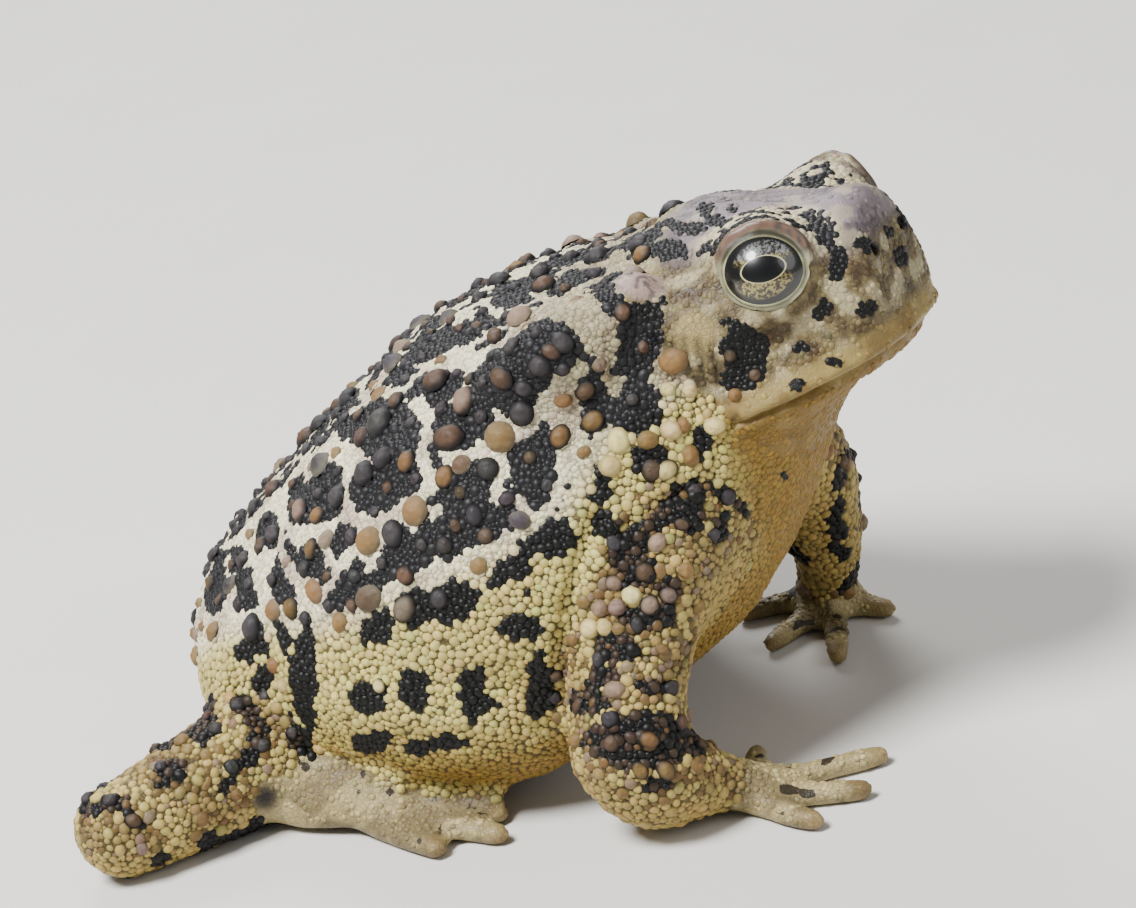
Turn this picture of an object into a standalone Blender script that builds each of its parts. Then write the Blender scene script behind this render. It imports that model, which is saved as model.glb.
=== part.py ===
# A Wyoming toad, life size, sitting on the floor with its head raised. It faces +X, its left side is
# at +Y and the floor is Z = 0. Sizes and places are in millimetres, and MM turns them into metres.

import math
import random

import bmesh
import bpy
import numpy as np
from mathutils import Matrix, Vector
from mathutils.bvhtree import BVHTree

MM = 0.001
GAP = 0.3
SEED = 7

# Whole flesh before it is parted
VOXEL = 0.42
SMOOTH_PASSES = 8
FLESH_TRIANGLES = 6600
NODE_SHARE_KEPT = 0.72
FLAT_SNAP = 0.06
SECTION_POINTS = 40
SECTION_STEPS = 4
CUTTER_REACH = 70
CUTTER_DEPTH = 140

# Torso: top and bottom of each section as (x, z), its half width, and how low its widest line lies
TORSO_SECTIONS = (
    ((-28.0, 6.6), (-25.8, 2.4), 4.2, 0.50),
    ((-27.2, 11.0), (-21.4, 0.2), 8.6, 0.48),
    ((-23.8, 15.5), (-15.4, -0.4), 12.6, 0.45),
    ((-19.2, 19.8), (-8.8, -0.4), 15.6, 0.43),
    ((-13.6, 24.4), (-1.8, 0.8), 17.4, 0.43),
    ((-8.4, 28.0), (5.0, 3.8), 17.4, 0.43),
    ((-2.6, 30.8), (10.6, 7.2), 16.0, 0.44),
    ((2.5, 31.9), (14.4, 11.8), 13.4, 0.46),
    ((7.6, 33.0), (17.0, 17.0), 11.0, 0.46),
    ((12.5, 32.7), (18.6, 21.0), 8.2, 0.46),
)
TORSO_ROUNDNESS = 2.25

# Head: its own frame starts at the jaw joint, turned to the toad's right, tipped up and leaning left
HEAD_ORIGIN = (15.99, -0.3, 23.6)
HEAD_YAW = math.radians(-6)
HEAD_PITCH = math.radians(17)
HEAD_ROLL = math.radians(-3)
# Each section: distance forward, top, bottom, half width, height of the widest line, top narrowing
HEAD_SECTIONS = (
    (-7.0, 11.4, -6.0, 9.4, 2.0, 0.14),
    (-3.5, 12.3, -5.0, 10.4, 2.0, 0.22),
    (0.0, 12.1, -3.9, 10.2, 1.8, 0.38),
    (2.8, 11.1, -2.5, 9.4, 1.6, 0.46),
    (5.2, 10.4, -1.3, 8.0, 1.6, 0.46),
    (7.2, 10.1, -0.6, 6.8, 2.2, 0.30),
    (8.7, 9.8, 0.1, 5.6, 3.2, 0.16),
    (9.6, 9.0, 1.4, 4.2, 4.2, 0.10),
)
HEAD_ROUNDNESS = 2.5

EYE_PLACE = (4.1, 6.1, 7.7)
EYE_AXIS = (0.34, 0.91, 0.24)
EYEBALL_RADIUS = 2.9
LID_OPENING = 2.45
LID_THICKNESS = 0.42
LID_SET_OUT = 0.7
BROW_COLLAR = ((-4.0, 4.4), (-1.2, 3.8), (0.6, 3.45), (1.9, 3.05))
LID_RING_SIDES = 6
LID_RING_STEPS = 20
NOSTRIL_PLACE = (8.4, 2.3, 6.3)
NOSTRIL_RADIUS = 0.48
SNOUT_MIDDLE = (2.0, 0.0, 3.0)
MOUTH_HEIGHT = 0.2
MOUTH_MIDDLE = 0.9
MOUTH_SWEEP = math.radians(88)
MOUTH_SET_BACK = 0.12
MOUTH_STEPS = 10
MOUTH_GROOVE = 0.26
LIPS = ((0.62, 0.66), (-0.55, 0.56))

# Limbs as (x, y, z, radius) along their length, y measured outward from the midline
UPPER_ARM = {
    "right": ((8.8, 9.5, 17.0, 5.0), (7.2, 13.4, 12.0, 3.8), (6.3, 16.6, 7.0, 3.8)),
    "left": ((10.6, 7.0, 17.0, 5.0), (13.0, 9.2, 12.6, 3.5), (12.9, 10.8, 9.0, 3.0)),
}
FOREARM = {
    "right": ((6.4, 16.8, 5.8, 3.9), (7.6, 16.6, 4.0, 3.8), (9.2, 15.6, 3.1, 3.1), (11.3, 14.0, 1.9, 2.1)),
    "left": ((12.9, 11.2, 8.0, 2.9), (12.5, 12.4, 5.0, 2.6), (11.6, 13.7, 2.0, 2.0)),
}
PALM = {
    "right": (12.6, 13.2, 1.2),
    "left": (11.6, 13.6, 1.2),
}
PALM_SIZE = (2.6, 2.4, 1.35)
FINGERS = {
    "right": (
        ((11.9, 12.0), (11.9, 10.0), (11.6, 8.0)),
        ((13.5, 12.2), (16.6, 10.4), (19.8, 8.8)),
        ((13.9, 13.4), (16.8, 13.6), (19.6, 13.2)),
        ((13.3, 14.6), (15.4, 16.0), (17.4, 17.0)),
    ),
    "left": (
        ((10.4, 14.0), (8.4, 13.8), (5.9, 12.4)),
        ((11.0, 12.2), (10.0, 9.8), (8.9, 7.6)),
        ((12.1, 12.0), (13.2, 8.8), (14.0, 5.4)),
        ((12.8, 13.2), (14.4, 12.8), (16.0, 12.2)),
    ),
}
FINGER_HEIGHT = 0.66
FINGER_RADIUS = 1.02
FINGERTIP_RADIUS = 0.9

THIGH = ((-15.4, 8.6, 4.8, 4.6), (-21.6, 14.6, 4.1, 4.0), (-27.2, 20.6, 3.4, 3.1))
SHANK = ((-27.0, 20.6, 2.9, 3.0), (-24.2, 18.2, 2.5, 2.8), (-20.2, 14.4, 2.2, 2.3))
FOOT_MIDDLE = (-16.0, 14.4, 2.7)
FOOT_SIZE = (6.4, 1.5, 3.0)
FOOT_TILT = math.radians(38)
FOOT_YAW = math.radians(12)
SPADE_PLACE = (-19.0, 15.9, 3.2)
SPADE_SIZE = (1.2, 0.9, 1.4)
TOES = (
    ((-13.2, 12.6, 3.6), (-10.6, 12.4, 1.9), (-8.8, 12.2, 0.7)),
    ((-12.2, 13.2, 3.0), (-8.6, 13.2, 1.4), (-6.0, 13.2, 0.7)),
    ((-11.6, 14.0, 2.3), (-7.2, 14.6, 1.0), (-3.6, 15.0, 0.7)),
    ((-11.6, 15.0, 1.6), (-7.2, 16.4, 0.8), (-2.8, 17.8, 0.7)),
    ((-12.2, 16.0, 1.0), (-9.2, 17.8, 0.7), (-6.4, 19.4, 0.7)),
)
TOE_RADIUS = 1.05
TOETIP_RADIUS = 0.9

# Soft swellings of the flesh: middle, half sizes, and turn about Y and Z in degrees
PAROTOID = {
    "right": ((4.2, 9.9, 29.2), (6.6, 2.8, 3.2), 26, -14),
    "left": ((4.2, 9.4, 27.6), (6.6, 2.8, 3.2), 26, -14),
}
PAROTOID_KNOB = {
    "right": ((8.6, 7.9, 32.4), (2.1, 1.8, 1.6), 20, -10),
    "left": ((8.6, 7.6, 30.6), (2.1, 1.8, 1.6), 20, -10),
}
TYMPANUM_SWELL = ((12.8, 8.2, 28.8), (3.8, 2.2, 3.6), 0, 0)
SHOULDER_SWELL = ((5.5, 9.5, 18.0), (6.5, 5.8, 7.0), 20, 0)
RUMP_SWELL = ((-18.0, 7.2, 8.0), (7.8, 7.2, 7.2), 0, 25)
FLANK_SWELL = ((-8.0, 10.2, 9.2), (13.0, 7.5, 8.4), -8, 8)

# Where the body is parted
NECK_POINT = (11.6, 0.0, 28.5)
NECK_FACING = (0.85, 0.0, 0.53)
TIP_MARGIN = 0.5
MIDDLE_MARGIN = 0.7
ROOT_MARGIN = 0.9
REGION_TRIANGLES = 260

# Warts: radius and height, and where they stand: rows along the axis of the body, then round it
LARGE_WART = (1.15, 0.8)
SMALL_WART = (0.78, 0.5)
BODY_AXIS = ((-20.0, 0.0, 7.5), (12.0, 0.0, 25.0))
WART_SIDES = 6
WART_RINGS = 4
WART_ROWS = 11
LARGE_WART_REACH = math.radians(62)
SMALL_WART_REACH = math.radians(108)
WART_SPACING = 4.0
LARGE_WART_SPREAD = 1.15
SMALL_WART_SPREAD = 0.9
WART_JITTER_ALONG = 1.1
WART_JITTER_ROUND = 0.075
WART_SCALES = (0.7, 1.15)
WART_ROW_SHIFT = 0.1
WART_SINK = 0.25
LOWEST_WART = 3.0

COLOURS = {
    "flank": "#cbbd8e",
    "head": "#8c7d6c",
    "foot": "#b5a377",
    "eye": "#1a1712",
}


def linear(channel):
    return channel / 12.92 if channel <= 0.04045 else ((channel + 0.055) / 1.055) ** 2.4


def colour(name):
    text = COLOURS[name].lstrip("#")
    return [linear(int(text[i : i + 2], 16) / 255) for i in (0, 2, 4)] + [1.0]


def material(name, shade, roughness):
    made = bpy.data.materials.new(name)
    made.use_nodes = True
    shader = made.node_tree.nodes["Principled BSDF"]
    shader.inputs["Base Color"].default_value = colour(shade)
    shader.inputs["Roughness"].default_value = roughness
    shader.inputs["Metallic"].default_value = 0.0
    made.diffuse_color = colour(shade)
    return made


def clear_scene():
    for old in list(bpy.data.objects):
        bpy.data.objects.remove(old, do_unlink=True)


def new_collection(name):
    made = bpy.data.collections.new(name)
    bpy.context.scene.collection.children.link(made)
    return made


def new_object(name, mesh, group):
    made = bpy.data.objects.new(name, mesh)
    group.objects.link(made)
    return made


def from_bmesh(name, shape, group):
    mesh = bpy.data.meshes.new(name)
    bmesh.ops.recalc_face_normals(shape, faces=shape.faces)
    shape.to_mesh(mesh)
    shape.free()
    return new_object(name, mesh, group)


def bake_modifiers(obj):
    """Replace the object's mesh with what its modifiers make of it."""
    bpy.context.view_layer.update()
    graph = bpy.context.evaluated_depsgraph_get()
    mesh = bpy.data.meshes.new_from_object(obj.evaluated_get(graph))
    old = obj.data
    obj.modifiers.clear()
    obj.data = mesh
    bpy.data.meshes.remove(old)


def boolean(target, operation, cutter=None, collection=None, solver="EXACT"):
    cut = target.modifiers.new(operation.lower(), "BOOLEAN")
    cut.operation = operation
    cut.solver = solver
    if collection is None:
        cut.object = cutter
    else:
        cut.operand_type = "COLLECTION"
        cut.collection = collection
    bake_modifiers(target)


def keep_largest(obj):
    """Keep only the closed surface with the most faces round it, by its size."""
    shape = bmesh.new()
    shape.from_mesh(obj.data)
    left = set(shape.faces)
    surfaces = []
    while left:
        start = left.pop()
        surface = {start}
        waiting = [start]
        while waiting:
            face = waiting.pop()
            for edge in face.edges:
                for other in edge.link_faces:
                    if other in left:
                        left.discard(other)
                        surface.add(other)
                        waiting.append(other)
        surfaces.append(surface)
    if len(surfaces) > 1:
        area = [sum(face.calc_area() for face in surface) for surface in surfaces]
        largest = surfaces[area.index(max(area))]
        bmesh.ops.delete(shape, geom=[f for f in shape.faces if f not in largest], context="FACES")
        shape.to_mesh(obj.data)
    shape.free()


def smooth_path(points, steps):
    """Points of a Catmull-Rom curve through the given ones, each a row of numbers."""
    rows = np.array(points, float)
    ends = np.vstack([2 * rows[0] - rows[1], rows, 2 * rows[-1] - rows[-2]])
    made = []
    for i in range(1, len(ends) - 2):
        a, b, c, d = ends[i - 1 : i + 3]
        square = 2 * a - 5 * b + 4 * c - d
        cube = 3 * b - 3 * c + d - a
        for t in np.arange(steps) / steps:
            made.append(0.5 * (2 * b + (c - a) * t + square * t**2 + cube * t**3))
    made.append(rows[-1])
    return np.array(made)


def loft(name, rings, group):
    """A closed body through rings of equally many points."""
    shape = bmesh.new()
    made = [[shape.verts.new(Vector(point) * MM) for point in ring] for ring in rings]
    count = len(made[0])
    for near, far in zip(made, made[1:]):
        for i in range(count):
            j = (i + 1) % count
            shape.faces.new((near[i], near[j], far[j], far[i]))
    shape.faces.new(made[0])
    shape.faces.new(reversed(made[-1]))
    return from_bmesh(name, shape, group)


def rounded(angle, power):
    """Sine and cosine of an angle on a superellipse."""
    c, s = math.cos(angle), math.sin(angle)
    return (
        math.copysign(abs(c) ** (2 / power), c),
        math.copysign(abs(s) ** (2 / power), s),
    )


def make_torso(group):
    rows = [(*top, *bottom, half, low) for top, bottom, half, low in TORSO_SECTIONS]
    rings = []
    for top_x, top_z, low_x, low_z, half, share in smooth_path(rows, SECTION_STEPS):
        top = np.array((top_x, 0, top_z))
        bottom = np.array((low_x, 0, low_z))
        middle = bottom + (top - bottom) * share
        ring = []
        for k in range(SECTION_POINTS):
            up, out = rounded(2 * math.pi * k / SECTION_POINTS, TORSO_ROUNDNESS)
            reach = top - middle if up > 0 else middle - bottom
            ring.append(middle + reach * up + np.array((0, half * out, 0)))
        rings.append(ring)
    return loft("torso mass", rings, group)


def head_frame():
    turn = Matrix.Rotation(HEAD_YAW, 4, "Z") @ Matrix.Rotation(-HEAD_PITCH, 4, "Y")
    return Matrix.Translation(HEAD_ORIGIN) @ turn @ Matrix.Rotation(HEAD_ROLL, 4, "X")


def make_head(group):
    frame = head_frame()
    rings = []
    for x, top, bottom, half, widest, narrow in smooth_path(HEAD_SECTIONS, SECTION_STEPS):
        ring = []
        for k in range(SECTION_POINTS):
            up, out = rounded(2 * math.pi * k / SECTION_POINTS, HEAD_ROUNDNESS)
            z = widest + up * (top - widest if up > 0 else widest - bottom)
            share = max(0.0, (z - widest) / (top - widest))
            ring.append(frame @ Vector((x, half * out * (1 - narrow * share**1.5), z)))
        rings.append(ring)
    return loft("head mass", rings, group)


def ellipsoid(name, middle, sizes, turn, group, sides=24, rings=16):
    shape = bmesh.new()
    bmesh.ops.create_uvsphere(shape, u_segments=sides, v_segments=rings, radius=1.0)
    stretch = Matrix.Diagonal((*[size * MM for size in sizes], 1.0))
    place = Matrix.Translation(Vector(middle) * MM) @ turn.to_4x4() @ stretch
    bmesh.ops.transform(shape, matrix=place, verts=shape.verts)
    return from_bmesh(name, shape, group)


def swelling(name, form, side, group):
    """A soft rise of the flesh on one side of the body."""
    (x, y, z), sizes, tip, yaw = form
    turn = Matrix.Rotation(side * math.radians(yaw), 3, "Z") @ Matrix.Rotation(math.radians(-tip), 3, "Y")
    return ellipsoid(name, (x, side * y, z), sizes, turn, group)


def tube(name, points, group, steps=4, grow=0.0, segments=16, round_ends=True):
    """A round limb of changing thickness through (x, y, z, radius) points."""
    curve = bpy.data.curves.new(name, "CURVE")
    curve.dimensions = "3D"
    curve.bevel_depth = MM
    curve.bevel_resolution = segments // 4
    curve.use_fill_caps = True
    path = smooth_path(points, steps)
    spline = curve.splines.new("POLY")
    spline.points.add(len(path) - 1)
    for knot, (x, y, z, radius) in zip(spline.points, path):
        knot.co = (x * MM, y * MM, z * MM, 1)
        knot.radius = radius + grow
    guide = bpy.data.objects.new(name, curve)
    group.objects.link(guide)
    bpy.context.view_layer.update()
    graph = bpy.context.evaluated_depsgraph_get()
    mesh = bpy.data.meshes.new_from_object(guide.evaluated_get(graph))
    made = new_object(name, mesh, group)
    bpy.data.objects.remove(guide)
    bpy.data.curves.remove(curve)
    shape = bmesh.new()
    shape.from_mesh(mesh)
    bmesh.ops.remove_doubles(shape, verts=shape.verts, dist=1e-6)
    for x, y, z, radius in (path[0], path[-1]) if round_ends else ():
        place = Matrix.Translation(Vector((x, y, z)) * MM)
        bmesh.ops.create_uvsphere(
            shape, u_segments=16, v_segments=10, radius=(radius + grow) * MM, matrix=place
        )
    bmesh.ops.recalc_face_normals(shape, faces=shape.faces)
    shape.to_mesh(mesh)
    shape.free()
    return made


def mirrored(points, side):
    return [(x, side * y, *rest) for x, y, *rest in points]


def make_digits(paths, base_radius, tip_radius, side, group, grow=0.0):
    made = []
    for number, path in enumerate(paths):
        radii = np.linspace(base_radius, tip_radius, len(path))
        knots = [(*point, radius) for point, radius in zip(path, radii)]
        made.append(tube(f"digit {number}", mirrored(knots, side), group, 3, grow, 12))
    return made


def make_upper_arm(word, side, group, grow=0.0):
    return [tube("upper arm", mirrored(UPPER_ARM[word], side), group, 4, grow)]


def make_forearm(word, side, group, grow=0.0):
    return [tube("forearm", mirrored(FOREARM[word], side), group, 4, grow)]


def make_hand(word, side, group, grow=0.0):
    x, y, z = PALM[word]
    sizes = [size + grow for size in PALM_SIZE]
    fingers = [[(fx, fy, FINGER_HEIGHT) for fx, fy in finger] for finger in FINGERS[word]]
    return [
        ellipsoid("palm", (x, side * y, z), sizes, Matrix.Identity(3), group),
        *make_digits(fingers, FINGER_RADIUS, FINGERTIP_RADIUS, side, group, grow),
    ]


def make_thigh(word, side, group, grow=0.0):
    return [tube("thigh", mirrored(THIGH, side), group, 4, grow)]


def make_shank(word, side, group, grow=0.0):
    return [tube("shank", mirrored(SHANK, side), group, 4, grow)]


def make_foot(word, side, group, grow=0.0):
    """The foot on its outer edge, with the sole turned outward and the spade on its inner edge."""
    x, y, z = FOOT_MIDDLE
    turn = Matrix.Rotation(side * FOOT_YAW, 3, "Z") @ Matrix.Rotation(side * FOOT_TILT, 3, "X")
    foot = ellipsoid("foot", (x, side * y, z), [size + grow for size in FOOT_SIZE], turn, group)
    x, y, z = SPADE_PLACE
    sizes = [size + grow for size in SPADE_SIZE]
    spade = ellipsoid("spade", (x, side * y, z), sizes, Matrix.Identity(3), group, 12, 8)
    return [foot, spade, *make_digits(TOES, TOE_RADIUS, TOETIP_RADIUS, side, group, grow)]


# Every part of a limb with its maker and the margin it is parted with, from tip to root
LIMB_PARTS = (
    ("hand", make_hand, TIP_MARGIN),
    ("forearm", make_forearm, MIDDLE_MARGIN),
    ("upper_arm", make_upper_arm, ROOT_MARGIN),
    ("foot", make_foot, TIP_MARGIN),
    ("shank", make_shank, MIDDLE_MARGIN),
    ("thigh", make_thigh, ROOT_MARGIN),
)


def eye_frame(side):
    """Middle of an eyeball and the way it looks."""
    frame = head_frame()
    x, y, z = EYE_PLACE
    ahead, out, up = EYE_AXIS
    axis = (frame.to_3x3() @ Vector((ahead, side * out, up))).normalized()
    return frame @ Vector((x, side * y, z)), axis


def make_brow(side, group):
    """The collar of flesh that rises from the head round the eyeball."""
    middle, axis = eye_frame(side)
    knots = [(*(middle + axis * out), radius) for out, radius in BROW_COLLAR]
    return tube("brow", knots, group, 3, round_ends=False)


def merge(name, pieces, group, voxel=VOXEL):
    """All the pieces in one mesh, with their overlaps dissolved by a voxel remesh."""
    shape = bmesh.new()
    for piece in pieces:
        shape.from_mesh(piece.data)
        bpy.data.objects.remove(piece)
    mesh = bpy.data.meshes.new(name)
    shape.to_mesh(mesh)
    shape.free()
    made = new_object(name, mesh, group)
    remesh = made.modifiers.new("remesh", "REMESH")
    remesh.mode = "VOXEL"
    remesh.voxel_size = voxel * MM
    remesh.adaptivity = 0.0
    smooth = made.modifiers.new("smooth", "SMOOTH")
    smooth.factor = 0.5
    smooth.iterations = SMOOTH_PASSES
    bake_modifiers(made)
    keep_largest(made)
    return made


def reduce_to(obj, triangles):
    count = sum(len(face.vertices) - 2 for face in obj.data.polygons)
    if count > triangles:
        fewer = obj.modifiers.new("fewer", "DECIMATE")
        fewer.ratio = triangles / count
        fewer.use_collapse_triangulate = True
        bake_modifiers(obj)


def settle(obj):
    """Thin out the small triangles that parting leaves, and keep the floor flats at one level."""
    count = sum(len(face.vertices) - 2 for face in obj.data.polygons)
    reduce_to(obj, int(count * NODE_SHARE_KEPT))
    for vertex in obj.data.vertices:
        if vertex.co.z < FLAT_SNAP * MM:
            vertex.co.z = 0.0


def box(name, low, high, group, place=None):
    shape = bmesh.new()
    bmesh.ops.create_cube(shape, size=1.0)
    middle = (Vector(low) + Vector(high)) / 2
    span = Vector(high) - Vector(low)
    matrix = Matrix.Translation(middle) @ Matrix.Diagonal((*span, 1.0))
    if place is not None:
        matrix = place @ matrix
    matrix = Matrix.Scale(MM, 4) @ matrix
    bmesh.ops.transform(shape, matrix=matrix, verts=shape.verts)
    return from_bmesh(name, shape, group)


def mouth_line(tree, rise, radius):
    """Knots along the line of the mouth on the head's surface, raised or lowered by the rise."""
    frame = head_frame()
    start = frame @ Vector((MOUTH_MIDDLE, 0, MOUTH_HEIGHT + rise))
    knots = []
    for k in range(-MOUTH_STEPS, MOUTH_STEPS + 1):
        angle = MOUTH_SWEEP * k / MOUTH_STEPS
        aim = frame.to_3x3() @ Vector((math.cos(angle) - MOUTH_SET_BACK, math.sin(angle), 0))
        point, _ = surface_point(tree, start, aim)
        knots.append((*point, radius))
    return knots


def make_flesh(group):
    head = make_head(group)
    pieces = [make_torso(group), head]
    tree = tree_of(head)
    for rise, radius in LIPS:
        pieces.append(tube("lip", mouth_line(tree, rise, radius), group, 1))
    for word, side in (("right", -1), ("left", 1)):
        pieces.append(make_brow(side, group))
        pieces.append(swelling("parotoid", PAROTOID[word], side, group))
        pieces.append(swelling("parotoid knob", PAROTOID_KNOB[word], side, group))
        pieces.append(swelling("tympanum", TYMPANUM_SWELL, side, group))
        pieces.append(swelling("shoulder", SHOULDER_SWELL, side, group))
        pieces.append(swelling("rump", RUMP_SWELL, side, group))
        pieces.append(swelling("flank", FLANK_SWELL, side, group))
        for _, maker, _ in LIMB_PARTS:
            pieces.extend(maker(word, side, group))
    flesh = merge("flesh", pieces, group)
    reduce_to(flesh, FLESH_TRIANGLES)
    reach = CUTTER_REACH
    floor = box("floor cutter", (-reach, -reach, -CUTTER_DEPTH), (reach, reach, 0), group)
    boolean(flesh, "DIFFERENCE", floor)
    bpy.data.objects.remove(floor)
    return flesh


def slab_place(point, facing):
    """A frame at a point whose Z runs along the facing."""
    return Matrix.Translation(point) @ Vector(facing).to_track_quat("Z", "X").to_matrix().to_4x4()


def half_space(point, facing, start, group):
    """A big box that begins a little past a plane and goes on along its facing."""
    low = (-CUTTER_REACH, -CUTTER_REACH, start)
    high = (CUTTER_REACH, CUTTER_REACH, CUTTER_DEPTH)
    return box("half", low, high, group, slab_place(point, facing))


def copy_of(obj, name, group):
    return new_object(name, obj.data.copy(), group)


def part_at(obj, point, facing, name, group):
    """Split off what lies past a plane, with the gap shared by both pieces."""
    piece = copy_of(obj, name, group)
    inner = half_space(point, facing, GAP / 2, group)
    outer = half_space(point, facing, -GAP / 2, group)
    boolean(piece, "INTERSECT", inner)
    boolean(obj, "DIFFERENCE", outer)
    bpy.data.objects.remove(inner)
    bpy.data.objects.remove(outer)
    keep_largest(piece)
    keep_largest(obj)
    return piece


def part_limb(flesh, name, region, group):
    """Split off what lies in the region, a limb's own form grown by a margin."""
    inner = merge("region", region, group, 2 * VOXEL)
    reduce_to(inner, REGION_TRIANGLES)
    outer = copy_of(inner, "outer region", group)
    wider = outer.modifiers.new("wider", "DISPLACE")
    wider.strength = GAP * MM
    wider.mid_level = 0.0
    piece = copy_of(flesh, name, group)
    boolean(piece, "INTERSECT", inner)
    boolean(flesh, "DIFFERENCE", outer)
    bpy.data.objects.remove(inner)
    bpy.data.objects.remove(outer)
    keep_largest(piece)
    keep_largest(flesh)
    return piece


def make_eye(side, head, group):
    """Eyeball, its socket in the head and the ring of the lids."""
    place, axis = eye_frame(side)
    turn = axis.to_track_quat("Z", "Y").to_matrix()
    depth = math.sqrt((EYEBALL_RADIUS + GAP) ** 2 - LID_OPENING**2)
    ring = bmesh.new()
    bmesh.ops.create_circle(ring, segments=LID_RING_SIDES, radius=LID_THICKNESS * MM)
    bmesh.ops.rotate(ring, matrix=Matrix.Rotation(math.pi / 2, 3, "X"), verts=ring.verts)
    out = (LID_OPENING + LID_THICKNESS * LID_SET_OUT) * MM
    bmesh.ops.translate(ring, vec=(out, 0, depth * MM), verts=ring.verts)
    bmesh.ops.spin(
        ring, geom=ring.verts[:] + ring.edges[:], cent=(0, 0, 0), axis=(0, 0, 1),
        angle=2 * math.pi, steps=LID_RING_STEPS, use_merge=True,
    )
    matrix = Matrix.Translation(place * MM) @ turn.to_4x4()
    bmesh.ops.transform(ring, matrix=matrix, verts=ring.verts)
    lids = from_bmesh("lids", ring, group)
    boolean(head, "UNION", lids)
    bpy.data.objects.remove(lids)
    socket = ellipsoid("socket", place, [EYEBALL_RADIUS + GAP] * 3, turn, group, 16, 10)
    boolean(head, "DIFFERENCE", socket)
    bpy.data.objects.remove(socket)
    word = "left" if side > 0 else "right"
    return ellipsoid(f"eye_{word}", place, [EYEBALL_RADIUS] * 3, turn, group, 18, 12)


def surface_point(tree, start, direction):
    """Where a ray from inside the body leaves it, and the outward normal there."""
    hit = tree.ray_cast(Vector(start) * MM, Vector(direction).normalized())
    return hit[0] / MM, hit[1].copy()


def cut_mouth(head, group):
    """A groove along the line of the mouth, from one corner round the snout to the other."""
    knots = mouth_line(tree_of(head), 0.0, MOUTH_GROOVE)
    groove = tube("mouth", knots, group, 1, 0.0, 4, round_ends=False)
    boolean(head, "DIFFERENCE", groove)
    bpy.data.objects.remove(groove)


def cut_nostrils(head, group):
    tree = tree_of(head)
    frame = head_frame()
    turn = frame.to_3x3()
    x, y, z = NOSTRIL_PLACE
    for side in (-1, 1):
        start = frame @ Vector(SNOUT_MIDDLE)
        aim = turn @ (Vector((x, side * y, z)) - Vector(SNOUT_MIDDLE))
        point, _ = surface_point(tree, start, aim)
        sizes = (NOSTRIL_RADIUS * 1.5, NOSTRIL_RADIUS, NOSTRIL_RADIUS)
        pit = ellipsoid("nostril", point, sizes, turn, group, 8, 6)
        boolean(head, "DIFFERENCE", pit)
        bpy.data.objects.remove(pit)


def tree_of(obj):
    shape = bmesh.new()
    shape.from_mesh(obj.data)
    tree = BVHTree.FromBMesh(shape)
    shape.free()
    return tree


def wart_spots(tree):
    """Places for warts as (point, normal, sizes): rows round the body, the large ones on the back."""
    low, high = (Vector(end) for end in BODY_AXIS)
    along = (high - low).normalized()
    across = Vector((0, 1, 0))
    up = along.cross(across)
    spots = []
    for row in range(WART_ROWS):
        share = row / (WART_ROWS - 1)
        middle = low.lerp(high, share)
        angle = -SMALL_WART_REACH + (row % 2) * WART_ROW_SHIFT
        while angle < SMALL_WART_REACH:
            turned = angle + random.uniform(-WART_JITTER_ROUND, WART_JITTER_ROUND)
            shifted = middle + along * random.uniform(-WART_JITTER_ALONG, WART_JITTER_ALONG)
            direction = up * math.cos(turned) + across * math.sin(turned)
            point, normal = surface_point(tree, shifted, direction)
            large = abs(turned) < LARGE_WART_REACH
            radius, height = LARGE_WART if large else SMALL_WART
            scale = random.uniform(*WART_SCALES)
            spots.append((point, normal, (radius * scale, height * scale)))
            spacing = WART_SPACING * (LARGE_WART_SPREAD if large else SMALL_WART_SPREAD)
            angle += spacing / (point - middle).length
    return spots


def add_warts(nodes, spots, group):
    """Fuse each wart with the node that it stands on, clear of the others."""
    trees = {node.name: tree_of(node) for node in nodes}
    for node in nodes:
        if node.name.startswith("eye") or node.name.split("_")[0] in ("hand", "foot"):
            continue
        warts = new_collection(f"warts of {node.name}")
        warts.hide_render = True
        for point, normal, (radius, height) in spots:
            reach = {name: tree.find_nearest(point * MM)[3] / MM for name, tree in trees.items()}
            nearest = min(reach, key=reach.get)
            others = min(away for name, away in reach.items() if name != node.name)
            if nearest != node.name or others < radius + 2 * GAP or point[2] < LOWEST_WART:
                continue
            turn = normal.to_track_quat("Z", "X").to_matrix()
            middle = point - normal * WART_SINK * height
            sizes = (radius, radius, (1 + WART_SINK) * height)
            ellipsoid("wart", middle, sizes, turn, warts, WART_SIDES, WART_RINGS)
        if warts.objects:
            boolean(node, "UNION", collection=warts)
            keep_largest(node)
        for wart in list(warts.objects):
            bpy.data.objects.remove(wart)
        bpy.data.collections.remove(warts)


def centre(objects):
    """Move every mesh so that the origin is under the middle of the whole box, on the floor."""
    corners = np.array([tuple(v.co) for obj in objects for v in obj.data.vertices])
    low, high = corners.min(axis=0), corners.max(axis=0)
    shift = Vector((-(low[0] + high[0]) / 2, -(low[1] + high[1]) / 2, -low[2]))
    for obj in objects:
        obj.data.transform(Matrix.Translation(shift))


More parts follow.
